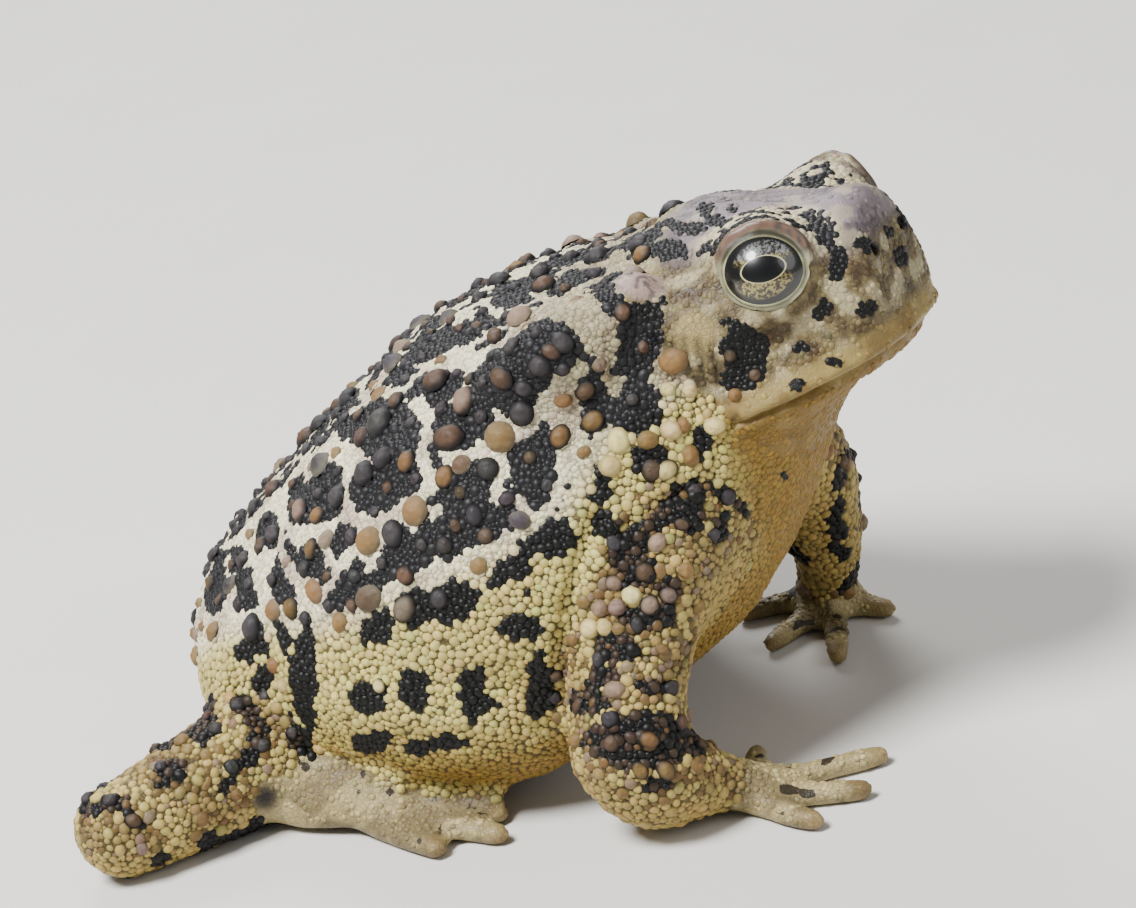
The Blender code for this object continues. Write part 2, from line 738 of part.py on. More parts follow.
def main():
    clear_scene()
    random.seed(SEED)
    toad = new_collection("wyoming_toad")
    flesh = make_flesh(toad)
    whole = tree_of(flesh)
    nodes = []
    for word, side in (("right", -1), ("left", 1)):
        for name, maker, margin in LIMB_PARTS:
            region = maker(word, side, toad, margin)
            nodes.append(part_limb(flesh, f"{name}_{word}", region, toad))
    head = part_at(flesh, NECK_POINT, NECK_FACING, "head", toad)
    flesh.name = "torso"
    for node in [*nodes, head, flesh]:
        settle(node)
    for side in (-1, 1):
        nodes.append(make_eye(side, head, toad))
    cut_mouth(head, toad)
    cut_nostrils(head, toad)
    nodes.extend([head, flesh])
    add_warts(nodes, wart_spots(whole), toad)
    centre(nodes)
    skin = {
        "torso": material("granular skin of the body", "flank", 0.55),
        "head": material("skin of the head", "head", 0.5),
        "eye": material("wet eye", "eye", 0.08),
        "limb": material("skin of the limbs", "foot", 0.55),
    }
    for node in nodes:
        key = node.name.split("_")[0]
        own = skin.get(key, skin["limb"]).copy()
        own.name = f"{node.name} surface"
        node.data.materials.clear()
        node.data.materials.append(own)
        node.data.shade_smooth()
        node.data.name = node.name


main()
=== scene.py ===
# A still, life-size Wyoming toad: skin, granules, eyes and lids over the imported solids.
import math
import random

import bmesh
import bpy
import numpy as np
from mathutils import Matrix, Vector, noise
from mathutils.bvhtree import BVHTree


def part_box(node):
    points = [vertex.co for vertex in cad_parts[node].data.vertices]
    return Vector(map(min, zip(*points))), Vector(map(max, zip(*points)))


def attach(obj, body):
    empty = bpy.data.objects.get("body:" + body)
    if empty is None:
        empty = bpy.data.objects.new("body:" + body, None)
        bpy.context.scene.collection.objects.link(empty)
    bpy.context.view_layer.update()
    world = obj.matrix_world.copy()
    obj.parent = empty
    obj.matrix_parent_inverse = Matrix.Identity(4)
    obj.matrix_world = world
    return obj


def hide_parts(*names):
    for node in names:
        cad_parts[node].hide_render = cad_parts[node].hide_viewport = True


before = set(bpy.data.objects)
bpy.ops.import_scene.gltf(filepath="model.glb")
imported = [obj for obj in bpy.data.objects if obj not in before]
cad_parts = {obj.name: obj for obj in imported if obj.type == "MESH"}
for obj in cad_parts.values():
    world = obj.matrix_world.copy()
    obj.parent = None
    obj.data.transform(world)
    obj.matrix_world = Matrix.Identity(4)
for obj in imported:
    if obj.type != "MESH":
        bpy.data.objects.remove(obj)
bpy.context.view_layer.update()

mm = 0.001
random.seed(11)
dice = np.random.default_rng(11)

# The toad's own frame: it faces +X and its left side is at +Y, all in millimetres
toad = {
    "headSpot": (15.99, -0.3, 23.6),  # the jaw joint, and the turns of the head in degrees
    "headTurns": {"yaw": -6, "pitch": -17, "roll": -3},
    "eyePlace": (4.1, 6.1, 7.7),  # in the head's frame
    "bodyAxis": ((-20.0, 0.0, 7.5), (12.0, 0.0, 25.0)),
    "midline": 2.5,  # what lies this near the middle, in mm, isn't mirrored
}

# The photo was taken from the toad's right, a little ahead of it and above
view = {
    "middlePixel": (568, 454),
    "width": 1136,
    "aim": (0.0, 0.0, 18.6),
    "turn": 20,
    "rise": 22,
    "roll": 11,
    "distance": 250,
    "pixelsPerMm": 15.5,
    "sensor": 36.0,
}


def eyeMiddle(node):
    low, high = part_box(node)
    return (low + high) / 2


def turnHead():
    yaw, pitch, roll = (math.radians(toad["headTurns"][key]) for key in ("yaw", "pitch", "roll"))
    return Matrix.Rotation(yaw, 3, "Z") @ Matrix.Rotation(pitch, 3, "Y") @ Matrix.Rotation(roll, 3, "X")


headTurn = turnHead()
ahead, out, up = toad["eyePlace"]
rightEye = Vector(toad["headSpot"]) + headTurn @ Vector((ahead, -out, up))
ownShift = eyeMiddle("eye_right") / mm - rightEye


def place(x, y, z):
    # a point of the toad's own frame, in metres of the scene
    return (Vector((x, y, z)) + ownShift) * mm


def blendStep(low, high, values):
    share = np.clip((values - low) / (high - low), 0, 1)
    return share * share * (3 - 2 * share)


class Shelf:
    # points sorted along X, to pick those near a place quickly
    def __init__(self, points):
        self.order = np.argsort(points[:, 0])
        self.along = points[self.order, 0]

    def near(self, x, reach):
        first, last = np.searchsorted(self.along, (x - reach, x + reach))
        return self.order[first:last]


def bell(values, width):
    return np.exp(-((values / width) ** 2))


def linear(code):
    # sRGB hex to linear
    channels = [int(code[i : i + 2], 16) / 255 for i in (1, 3, 5)]
    return np.array([c / 12.92 if c <= 0.04045 else ((c + 0.055) / 1.055) ** 2.4 for c in channels])


def mixTone(first, second, share):
    return first + (second - first) * share[:, None]


def addNode(tree, kind, inputs=None, **settings):
    node = tree.nodes.new(kind)
    for name, value in settings.items():
        setattr(node, name, value)
    for name, value in (inputs or {}).items():
        if isinstance(value, bpy.types.NodeSocket):
            tree.links.new(value, node.inputs[name])
        else:
            node.inputs[name].default_value = value
    return node


def startMaterial(name):
    made = bpy.data.materials.new(name)
    made.use_nodes = True
    return made, made.node_tree, made.node_tree.nodes["Principled BSDF"]


def viewAxes():
    turn, rise, roll = (math.radians(view[key]) for key in ("turn", "rise", "roll"))
    back = Vector((math.sin(turn) * math.cos(rise), -math.cos(turn) * math.cos(rise), math.sin(rise)))
    level = Vector((math.cos(turn), math.sin(turn), 0))
    upright = back.cross(level)
    right = level * math.cos(roll) - upright * math.sin(roll)
    up = level * math.sin(roll) + upright * math.cos(roll)
    return right, up, back


viewRight, viewUp, viewBack = viewAxes()
cameraSpot = place(*view["aim"]) + viewBack * view["distance"] * mm


def makeCamera():
    lens = bpy.data.cameras.new("camera")
    lens.sensor_width = view["sensor"]
    lens.lens = view["pixelsPerMm"] * view["distance"] * view["sensor"] / view["width"]
    lens.clip_start = 0.01
    lens.clip_end = 20
    camera = bpy.data.objects.new("camera", lens)
    turn = Matrix((viewRight, viewUp, viewBack)).transposed().to_4x4()
    camera.matrix_world = Matrix.Translation(cameraSpot) @ turn
    bpy.context.scene.collection.objects.link(camera)
    bpy.context.scene.camera = camera


def sightLine(x, y):
    # the direction from the camera through a pixel of the photo
    reach = view["pixelsPerMm"] * view["distance"]
    centreX, centreY = view["middlePixel"]
    return (viewRight * (x - centreX) / reach - viewUp * (y - centreY) / reach - viewBack).normalized()


makeCamera()
print("camera placed")

# Skin

skin = {
    "swell": 0.28,  # the nodes are swollen by this, so that their gaps close
    "voxel": 0.44,
    "relax": 2,
    "coatDepth": {"torso": 0.3, "head": 0.04, "limb": 0.2, "tip": 0.02},
    "openPasses": 4,  # steps that wipe the solids' own warts off the skin
    "ripples": ((0.16, 0.26), (0.09, 0.75)),  # depth in mm and waves per mm
}
headDetail = {
    "temple": (-1.0, 7.6, 6.6),  # behind the eye, where the skin is drawn smooth
    "mouthHeight": 0.2,
    "mouthDepth": 0.42,
    "mouthWidth": 0.15,
    "lipRise": 0.12,
    "lips": (0.5, 0.3),  # how far each lip lies off the mouth, and its width
    "nostrilPixel": (873, 249),
    "nostrilRadius": 0.36,
    "nostrilDepth": 0.7,
    "nostrilRim": (0.14, 0.62, 0.22),  # its height, radius and width
}
eyeDetail = {
    "axis": (0.38, 0.9, 0.24),
    "radius": 2.94,
    "openWide": 53,  # half angles of the opening between the lids
    "openHigh": 43,
}
allFlesh = sorted(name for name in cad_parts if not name.startswith("eye"))
nodeNumber = {name: number for number, name in enumerate(allFlesh)}


def newObject(name, mesh):
    made = bpy.data.objects.new(name, mesh)
    bpy.context.scene.collection.objects.link(made)
    return made


def meshFrom(shape, name):
    mesh = bpy.data.meshes.new(name)
    shape.to_mesh(mesh)
    shape.free()
    return mesh


def pointsOf(mesh):
    flat = np.empty(len(mesh.vertices) * 3, np.float32)
    mesh.vertices.foreach_get("co", flat)
    return flat.reshape(-1, 3).astype(float)


def movePoints(mesh, points):
    mesh.vertices.foreach_set("co", points.astype(np.float32).ravel())
    mesh.update()


def normalsOf(mesh):
    flat = np.empty(len(mesh.vertices) * 3, np.float32)
    mesh.vertex_normals.foreach_get("vector", flat)
    return flat.reshape(-1, 3).astype(float)


def edgesOf(mesh):
    flat = np.empty(len(mesh.edges) * 2, np.int32)
    mesh.edges.foreach_get("vertices", flat)
    return flat.reshape(-1, 2)


def relax(points, edges, passes, share=1.0):
    count = np.bincount(edges.ravel(), minlength=len(points))[:, None]
    share = np.broadcast_to(np.asarray(share, float), len(points))[:, None]
    for _ in range(passes):
        total = np.zeros_like(points)
        for axis in range(points.shape[1]):
            total[:, axis] += np.bincount(edges[:, 0], points[edges[:, 1], axis], len(points))
            total[:, axis] += np.bincount(edges[:, 1], points[edges[:, 0], axis], len(points))
        points = points + (total / count - points) * 0.5 * share
    return points


def reachOut(values, edges, pick, passes):
    # every vertex takes its neighbours' least or greatest value
    for _ in range(passes):
        best = values.copy()
        pick.at(best, edges[:, 0], values[edges[:, 1]])
        pick.at(best, edges[:, 1], values[edges[:, 0]])
        values = best
    return values


def joinFlesh():
    shape = bmesh.new()
    for name in allFlesh:
        part = bmesh.new()
        part.from_mesh(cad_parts[name].data)
        bmesh.ops.remove_doubles(part, verts=part.verts, dist=1e-6)
        part.normal_update()
        for vert in part.verts:
            vert.co += vert.normal * skin["swell"] * mm
        mesh = meshFrom(part, name)
        shape.from_mesh(mesh)
        bpy.data.meshes.remove(mesh)
    joined = newObject("joined", meshFrom(shape, "joined"))
    remesh = joined.modifiers.new("remesh", "REMESH")
    remesh.mode = "VOXEL"
    remesh.voxel_size = skin["voxel"] * mm
    bpy.context.view_layer.update()
    graph = bpy.context.evaluated_depsgraph_get()
    mesh = bpy.data.meshes.new_from_object(joined.evaluated_get(graph))
    bpy.data.objects.remove(joined)
    return mesh


def nodeTree():
    # one tree over all the flesh nodes, with the node's number for each face
    corners, faces, owner = [], [], []
    for name in allFlesh:
        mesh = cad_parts[name].data
        first = len(corners)
        corners.extend(vert.co.copy() for vert in mesh.vertices)
        for face in mesh.polygons:
            faces.append([first + corner for corner in face.vertices])
            owner.append(nodeNumber[name])
    return BVHTree.FromPolygons(corners, faces), np.array(owner)


fleshTree, faceOwner = nodeTree()


def ownersOf(points):
    return np.array([faceOwner[fleshTree.find_nearest(Vector(point))[2]] for point in points])


def isNode(owners, *words):
    numbers = [number for name, number in nodeNumber.items() if name.split("_")[0] in words]
    return np.isin(owners, numbers)


headMiddle = place(*toad["headSpot"])


def headCoordinates(points):
    return (points - np.array(headMiddle)) @ np.array(headTurn) / mm


def headPlace(x, y, z):
    return headMiddle + headTurn @ Vector((x, y, z)) * mm


def mirrored(spot):
    # the same place on the other side; the head is turned, so it has a middle plane of its own
    x, y, z = headTurn.transposed() @ (Vector(spot) - headMiddle) / mm
    share = float(blendStep(-7, -3, x) * blendStep(-9, -6, z))
    return Vector((spot[0], -spot[1], spot[2])).lerp(headPlace(x, -y, z), share)


def eyeFrame(side):
    x, y, z = toad["eyePlace"]
    ahead, out, up = eyeDetail["axis"]
    axis = (headTurn @ Vector((ahead, side * out, up))).normalized()
    upward = Vector((0.03, 0, 1))  # the pupil stays level whatever the head's pitch
    upward = (upward - axis * upward.dot(axis)).normalized()
    forward = upward.cross(axis) if side < 0 else axis.cross(upward)
    return headPlace(x, side * y, z), axis, upward, forward


def eyeAngles(points, side):
    # distance from the eye's middle in mm, angle off its axis and bearing round it, in degrees
    middle, axis, upward, forward = eyeFrame(side)
    away = (points - np.array(middle)) / mm
    reach = np.linalg.norm(away, axis=1)
    tilt = np.degrees(np.arccos(np.clip(away @ np.array(axis) / np.maximum(reach, 1e-6), -1, 1)))
    bearing = np.degrees(np.arctan2(away @ np.array(upward), away @ np.array(forward)))
    return away, reach, tilt, bearing


def openingAngle(bearing):
    turned = np.radians(bearing)
    wide, high = eyeDetail["openWide"], eyeDetail["openHigh"]
    return 1 / np.sqrt((np.cos(turned) / wide) ** 2 + (np.sin(turned) / high) ** 2)


def wipeWarts(points, normals, edges, owners):
    # a grey opening of the height over a smoothed body: narrow bumps go, broad forms stay
    smooth = relax(points, edges, 40)
    height = ((points - smooth) * normals).sum(axis=1)
    opened = reachOut(height, edges, np.minimum, skin["openPasses"])
    opened = reachOut(opened, edges, np.maximum, skin["openPasses"])
    share = np.ones(len(points))
    share[isNode(owners, "hand", "foot")] = 0
    onHead = isNode(owners, "head")
    head = headCoordinates(points)
    for side in (-1, 1):
        _, reach, _, _ = eyeAngles(points, side)
        share[onHead] *= blendStep(4.6, 5.6, reach[onHead])
    share[onHead] *= blendStep(1.6, 2.6, np.abs(head[onHead, 2] - headDetail["mouthHeight"]))
    share[onHead] *= blendStep(6.2, 4.4, head[onHead, 0])
    share = relax(share[:, None], edges, 4)[:, 0]
    lowered = points - normals * ((height - opened) * share)[:, None]
    return relax(lowered, edges, 4, share)


def refine(mesh, chosen):
    # halves the edges between the chosen vertices
    shape = bmesh.new()
    shape.from_mesh(mesh)
    shape.verts.ensure_lookup_table()
    picked = [edge for edge in shape.edges if chosen[edge.verts[0].index] and chosen[edge.verts[1].index]]
    bmesh.ops.subdivide_edges(shape, edges=picked, cuts=1, use_grid_fill=True)
    shape.to_mesh(mesh)
    shape.free()
    mesh.update()


def sinkUnderLids(points, side, owners):
    away, reach, tilt, bearing = eyeAngles(points, side)
    past = tilt - openingAngle(bearing)
    most = 2.5 + 1.0 * blendStep(4, 13, past) + 8 * blendStep(14, 32, past)
    near = isNode(owners, "head") & (reach < 6) & (tilt < 100) & (reach > most)
    points[near] -= away[near] * (1 - most / np.maximum(reach, 1e-6))[near, None] * mm
    return points


def sculptHead(points, normals, edges, owners):
    onHead = isNode(owners, "head", "torso")
    head = headCoordinates(points)
    rise = head[:, 2] - headDetail["mouthHeight"]
    fade = blendStep(-1.6, 0.4, head[:, 0]) * onHead * (np.abs(rise) < 2)
    groove = headDetail["mouthDepth"] * bell(rise, headDetail["mouthWidth"])
    apart, width = headDetail["lips"]
    lips = headDetail["lipRise"] * (bell(rise - apart, width) + bell(rise + apart, width))
    points = points + normals * (fade * (lips - groove) * mm)[:, None]
    for side in (-1, 1):
        points = sinkUnderLids(points, side, owners)
        _, reach, _, _ = eyeAngles(points, side)
        points = relax(points, edges, 8, blendStep(6.4, 5.0, reach) * isNode(owners, "head"))
        points = sinkUnderLids(points, side, owners)
        temple = headPlace(*headDetail["temple"])
        temple = np.array(temple if side > 0 else mirrored(temple))
        close = blendStep(4.4, 2.2, np.linalg.norm(points - temple, axis=1) / mm)
        points = relax(points, edges, 50, close * blendStep(3.4, 3.8, reach))
    return points


def dentNostrils(points, normals, tree):
    hit, _, _, _ = tree.ray_cast(cameraSpot, sightLine(*headDetail["nostrilPixel"]))
    spots = []
    for side in (-1, 1):
        spot = hit if side < 0 else mirrored(hit)
        spots.append(spot)
        ahead, out, up = (headCoordinates(points) - headCoordinates(np.array([spot]))).T
        spread = np.sqrt((ahead * 0.8 + up * 0.35) ** 2 + out**2 + (up * 1.1) ** 2)
        pit = headDetail["nostrilDepth"] * np.exp(-((spread / headDetail["nostrilRadius"]) ** 4))
        high, radius, width = headDetail["nostrilRim"]
        rim = high * bell(spread - radius, width)
        points = points + normals * ((rim - pit) * mm)[:, None]
    return points, spots


def ripple(points, normals, owners):
    depth = np.where(isNode(owners, "head", "hand", "foot"), 0.4, 1.0)
    for high, perMm in skin["ripples"]:
        waves = np.array([noise.noise(Vector(point) * (perMm / mm)) for point in points])
        points = points + normals * (waves * depth * high * mm)[:, None]
    return points


# Folds and creases, by their pixels in the photo, each with a width and depth in mm
folds = (
    (((592, 520), (575, 575), (563, 640), (562, 700), (572, 752)), 0.55, 0.4),
    (((606, 545), (632, 520), (668, 498), (706, 478)), 0.34, 0.26),
    (((684, 338), (690, 372), (701, 415)), 0.2, 0.16),
    (((698, 342), (704, 376), (716, 410)), 0.2, 0.16),
    (((670, 345), (676, 385), (684, 440)), 0.22, 0.16),
    (((712, 345), (718, 380), (728, 404)), 0.18, 0.13),
    (((656, 340), (660, 372), (664, 400)), 0.2, 0.13),
    (((736, 418), (722, 440), (712, 470), (722, 505)), 0.3, 0.18),
    (((232, 690), (262, 722), (300, 748), (350, 765)), 0.5, 0.35),
    (((600, 300), (607, 345), (612, 400)), 0.3, 0.14),
    (((560, 300), (572, 335), (580, 362)), 0.25, 0.12),
    (((690, 640), (676, 668), (662, 690)), 0.35, 0.2),
    (((640, 655), (672, 668), (692, 664)), 0.3, 0.2),
    (((745, 428), (760, 470), (752, 530)), 0.3, 0.1),
    (((700, 205), (738, 197), (790, 200)), 0.28, 0.12),
)


def laidFold(row, tree):
    # the fold's points on the skin, on both sides of the body
    spots = [tree.ray_cast(cameraSpot, sightLine(x, y))[0] for x, y in row]
    spots = [spot for spot in spots if spot is not None]
    flipped = [tree.find_nearest(mirrored(spot))[0] for spot in spots]
    return [np.array(spots), np.array(flipped)]


def awayFromRun(points, start, end):
    # distance in mm from a straight run
    run = end - start
    away = points - start
    share = np.clip(away @ run / (run @ run), 0, 1)
    return np.linalg.norm(away - share[:, None] * run, axis=1) / mm


def creaseSkin(points, normals, tree):
    folded = np.zeros(len(points))
    for row, wide, deep in folds:
        for line in laidFold(row, tree):
            nearest = np.full(len(points), 9.0)
            for start, end in zip(line, line[1:]):
                if np.linalg.norm(end - start) > 6 * mm:
                    continue
                nearest = np.minimum(nearest, awayFromRun(points, start, end))
            cut = bell(nearest, wide)
            side = bell(nearest - 2 * wide, wide)
            points = points + normals * ((0.3 * side - cut) * deep * mm)[:, None]
            # this mask serves only to paint shade along the folds
            folded = np.maximum(folded, cut * min(1, deep / 0.2))
    return points, folded


def insetSkin(points, normals, edges, owners):
    deep = skin["coatDepth"]
    depth = np.full(len(points), deep["limb"])
    depth[isNode(owners, "torso")] = deep["torso"]
    depth[isNode(owners, "head")] = deep["head"]
    depth[isNode(owners, "hand", "foot")] = deep["tip"]
    depth = relax(depth[:, None], edges, 12)[:, 0] + skin["swell"]
    points = points - normals * (depth * mm)[:, None]
    points[:, 2] = np.maximum(points[:, 2], 0.02 * mm)
    return points


def makeSkin():
    mesh = joinFlesh()
    edges = edgesOf(mesh)
    movePoints(mesh, relax(pointsOf(mesh), edges, skin["relax"]))
    print("skin joined,", len(mesh.vertices), "points")
    points, normals = pointsOf(mesh), normalsOf(mesh)
    owners = ownersOf(points)
    movePoints(mesh, wipeWarts(points, normals, edges, owners))
    points, normals = pointsOf(mesh), normalsOf(mesh)
    movePoints(mesh, insetSkin(points, normals, edges, owners))
    head = headCoordinates(points)
    refine(mesh, isNode(owners, "head") & (head[:, 0] > -6))
    owners = ownersOf(pointsOf(mesh))
    edges = edgesOf(mesh)
    movePoints(mesh, relax(pointsOf(mesh), edges, 2, isNode(owners, "head").astype(float)))
    head = headCoordinates(pointsOf(mesh))
    mouth = np.abs(head[:, 2] - headDetail["mouthHeight"]) < 0.7
    nose = np.linalg.norm(head - np.array((8.3, 0, 6.2)), axis=1) < 2.9
    refine(mesh, isNode(owners, "head") & (head[:, 0] > -1.5) & (mouth | nose))
    points, normals = pointsOf(mesh), normalsOf(mesh)
    owners = ownersOf(points)
    points = sculptHead(points, normals, edgesOf(mesh), owners)
    movePoints(mesh, points)
    tree = treeOf(mesh)
    points, spots = dentNostrils(points, normalsOf(mesh), tree)
    points = ripple(points, normalsOf(mesh), owners)
    movePoints(mesh, points)
    points, folded = creaseSkin(points, normalsOf(mesh), treeOf(mesh))
    movePoints(mesh, points)
    mesh.shade_smooth()
    return mesh, owners, spots, folded


def treeOf(mesh):
    shape = bmesh.new()
    shape.from_mesh(mesh)
    tree = BVHTree.FromBMesh(shape)
    shape.free()
    return tree


skinMesh, skinOwners, nostrilSpots, skinFolds = makeSkin()
skinTree = treeOf(skinMesh)
skinMesh.calc_loop_triangles()
print("skin shaped,", len(skinMesh.loop_triangles), "triangles")

# Markings, listed by their pixels in the photo: middle x and y, half width and height, turn in degrees

blotches = {
    "body": (
        (503, 378, 40, 30, 0), (515, 402, 18, 12, 0), (545, 345, 30, 24, -10), (540, 466, 25, 42, 8),
        (478, 505, 34, 40, 10), (455, 535, 22, 24, 0), (413, 535, 18, 22, 0), (402, 560, 28, 16, 15),
        (350, 582, 32, 19, 25), (376, 628, 17, 22, -10), (415, 608, 20, 18, 0), (455, 602, 27, 20, 15),
        (387, 430, 32, 30, 10), (383, 488, 34, 20, 10), (462, 428, 32, 24, 0), (430, 478, 13, 24, 0),
        (437, 389, 24, 17, 20), (550, 540, 27, 18, 10), (515, 578, 24, 20, 10), (520, 628, 22, 14, 0),
        (471, 692, 13, 28, -8), (489, 703, 12, 9, 0), (413, 690, 16, 22, -10), (367, 699, 19, 17, 0),
        (372, 742, 21, 11, 10), (416, 746, 13, 8, 0), (450, 743, 20, 9, 0), (302, 680, 14, 50, 0),
        (263, 680, 11, 14, 0), (270, 640, 20, 18, 0), (245, 650, 11, 16, 0), (346, 545, 12, 18, 0),
        (326, 492, 17, 26, 0), (311, 560, 12, 15, 0), (286, 575, 13, 28, 0), (300, 500, 12, 22, 0),
        (590, 378, 11, 17, 0), (594, 410, 12, 18, 0), (640, 335, 20, 46, -14), (655, 297, 14, 12, 0),
        (636, 412, 26, 26, 0), (650, 458, 20, 17, 0), (597, 487, 14, 19, 0), (584, 460, 9, 8, 0),
        (603, 526, 10, 14, 0), (655, 522, 46, 8, 35), (540, 688, 14, 32, 0), (250, 712, 8, 22, 35),
        (510, 293, 20, 15, 0), (470, 333, 15, 11, 0), (700, 440, 9, 14, 0), (700, 487, 26, 7, 5),
        (245, 590, 12, 20, 0), (215, 590, 14, 22, 0), (232, 560, 14, 12, 0), (270, 530, 14, 16, 0),
        (560, 262, 24, 10, 10), (640, 240, 24, 10, 8), (610, 290, 12, 12, 0), (410, 385, 18, 12, 20),
        (350, 420, 16, 24, 20), (430, 345, 30, 14, 20), (490, 325, 20, 10, 0),
    ),
    "head": (
        (745, 350, 23, 32, 0), (738, 378, 16, 14, 0), (820, 308, 11, 9, 0), (868, 308, 10, 8, 0),
        (800, 345, 9, 8, 0), (797, 384, 9, 6, 0), (826, 240, 6, 20, 0), (838, 258, 9, 10, 0),
        (836, 272, 8, 6, 0), (868, 244, 13, 8, 15), (891, 232, 7, 4, 0), (901, 258, 6, 9, 0),
        (752, 322, 22, 8, 0), (665, 250, 24, 9, 0), (690, 228, 14, 7, 0), (733, 208, 6, 5, 0),
        (757, 212, 6, 4, 0), (835, 362, 9, 4, 0), (705, 208, 9, 6, 0), (716, 222, 12, 5, -20),
        (668, 224, 14, 5, 0),
    ),
    "limbs": (
        (690, 512, 14, 18, 0), (632, 572, 22, 18, 0), (668, 590, 12, 10, 0), (648, 618, 26, 12, 0),
        (612, 648, 22, 14, 0), (640, 545, 12, 10, 0), (622, 555, 10, 20, 0), (656, 688, 10, 8, 0),
        (642, 742, 52, 27, 0), (690, 742, 16, 14, 0), (600, 680, 14, 10, 0), (720, 528, 8, 13, 0),
        (745, 510, 5, 10, 40), (585, 702, 20, 12, 0), (660, 785, 16, 8, 0), (785, 475, 5, 7, 0),
    ),
}
# Cream bands that part the dark blotches: pixels along each, and half its width
creamBands = (
    (((228, 560), (234, 600), (240, 634)), 8), (((256, 572), (266, 612), (276, 652)), 8),
    (((283, 500), (284, 550), (303, 592), (318, 604)), 7),
    (((322, 596), (345, 562), (362, 540), (384, 530), (404, 508), (430, 490), (450, 466), (478, 450),
      (505, 440)), 8),
    (((362, 540), (374, 560)), 12), (((404, 508), (416, 518)), 10),
    (((505, 440), (528, 424), (548, 400), (560, 384), (578, 370)), 9),
    (((430, 490), (424, 458), (430, 420), (416, 402)), 8),
    (((350, 412), (370, 396), (402, 392), (428, 366), (462, 352), (500, 330), (530, 312)), 6),
    (((350, 452), (344, 490), (352, 512)), 6), (((352, 512), (372, 520)), 5),
    (((330, 640), (372, 606), (400, 588), (440, 568), (490, 548), (530, 528), (556, 500), (566, 460)), 7),
    (((498, 500), (500, 478), (486, 456)), 6), (((566, 460), (574, 420), (570, 392)), 9),
    (((575, 510), (588, 480), (575, 440)), 9), (((560, 300), (580, 330), (600, 350), (615, 392)), 7),
    (((605, 265), (640, 262), (668, 284)), 7), (((470, 300), (500, 316), (540, 300), (590, 290)), 5),
    (((540, 575), (500, 600), (480, 640), (420, 650), (340, 655)), 8),
    (((240, 520), (262, 500), (290, 470), (318, 430)), 5), (((200, 620), (222, 640), (240, 690)), 7),
)
# Larger warts: pixel x and y, radius in pixels and finish
warts = (
    (382, 424, 15, "slate"), (437, 382, 13, "umber"), (323, 466, 13, "slate"), (366, 474, 12, "slate"),
    (408, 462, 10, "tan"), (302, 511, 11, "pink"), (319, 516, 9, "tan"), (503, 378, 11, "umber"),
    (540, 366, 10, "slate"), (562, 343, 10, "slate"), (524, 388, 8, "slate"), (551, 352, 8, "umber"),
    (466, 402, 13, "pink"), (501, 437, 14, "tan"),
    (416, 511, 13, "tan"), (370, 541, 13, "tan"), (446, 477, 10, "tan"), (462, 465, 9, "umber"),
    (313, 549, 9, "tan"), (316, 591, 11, "tan"), (370, 598, 13, "umber"), (275, 610, 10, "tan"),
    (293, 608, 10, "tan"), (341, 622, 9, "tan"), (406, 608, 12, "pink"), (440, 598, 9, "slate"),
    (560, 437, 10, "tan"), (593, 421, 10, "tan"), (648, 440, 9, "tan"), (610, 466, 10, "cream"),
    (619, 441, 11, "cream"), (652, 470, 10, "umber"), (671, 430, 9, "cream"), (684, 425, 7, "tan"),
    (690, 456, 9, "tan"), (666, 470, 10, "cream"), (690, 390, 7, "cream"), (668, 390, 7, "cream"),
    (585, 390, 9, "umber"), (520, 318, 12, "pink"), (540, 275, 10, "slate"), (480, 300, 9, "slate"),
    (590, 238, 10, "pink"), (640, 245, 10, "slate"), (614, 583, 8, "pink"), (645, 572, 9, "umber"),
    (600, 608, 8, "pink"), (668, 595, 8, "pink"), (632, 595, 9, "cream"), (617, 607, 8, "pink"),
    (650, 605, 9, "pink"), (615, 690, 9, "pink"), (590, 628, 9, "cream"), (605, 627, 8, "cream"),
    (715, 425, 9, "cream"), (730, 355, 6, "umber"), (735, 395, 6, "tan"), (755, 375, 6, "umber"),
    (648, 740, 9, "tan"), (612, 743, 8, "umber"), (665, 770, 9, "tan"), (640, 770, 8, "tan"),
    (445, 545, 8, "slate"), (520, 520, 9, "slate"), (475, 515, 9, "slate"), (380, 685, 7, "cream"),
    (275, 665, 8, "tan"), (285, 685, 8, "cream"), (232, 585, 9, "slate"), (245, 560, 9, "slate"),
    (275, 535, 10, "slate"), (350, 400, 12, "slate"), (395, 365, 12, "slate"), (450, 320, 11, "slate"),
    (500, 283, 12, "slate"),
)
upperEdge = ((215, 640), (330, 625), (400, 600), (480, 570), (560, 520), (620, 430))


def bodyBearing(points):
    # share along the body's axis, and angle off its upper side in degrees
    low, high = (np.array(place(*end)) for end in toad["bodyAxis"])
    along = (high - low) / np.linalg.norm(high - low)
    share = (points - low) @ along / np.linalg.norm(high - low)
    out = points - low - np.outer((points - low) @ along, along)
    up = np.cross(along, (0, 1, 0))
    return share, np.degrees(np.arctan2(np.abs(out[:, 1]), out @ up))


def lookUp(x, y):
    hit, normal, _, _ = skinTree.ray_cast(cameraSpot, sightLine(x, y))
    return (hit, normal) if hit is not None else (None, None)


def layBlotch(x, y, wide, high, turn):
    # an ellipse of the photo, laid on the skin as its middle, normal and two half axes
    hit, normal = lookUp(x, y)
    if hit is None:
        return None
    sight = (hit - cameraSpot).normalized()
    perPixel = (hit - cameraSpot).length / (view["pixelsPerMm"] * view["distance"])
    facing = min(-0.42, sight.dot(normal))
    angle = math.radians(turn)
    halves = []
    cosine, sine = math.cos(angle), math.sin(angle)
    for reach, ahead, up in ((wide, cosine, sine), (high, -sine, cosine)):
        flat = (viewRight * ahead + viewUp * up) * reach * perPixel
        halves.append(flat - sight * (flat.dot(normal) / facing))
    return hit, normal, *halves


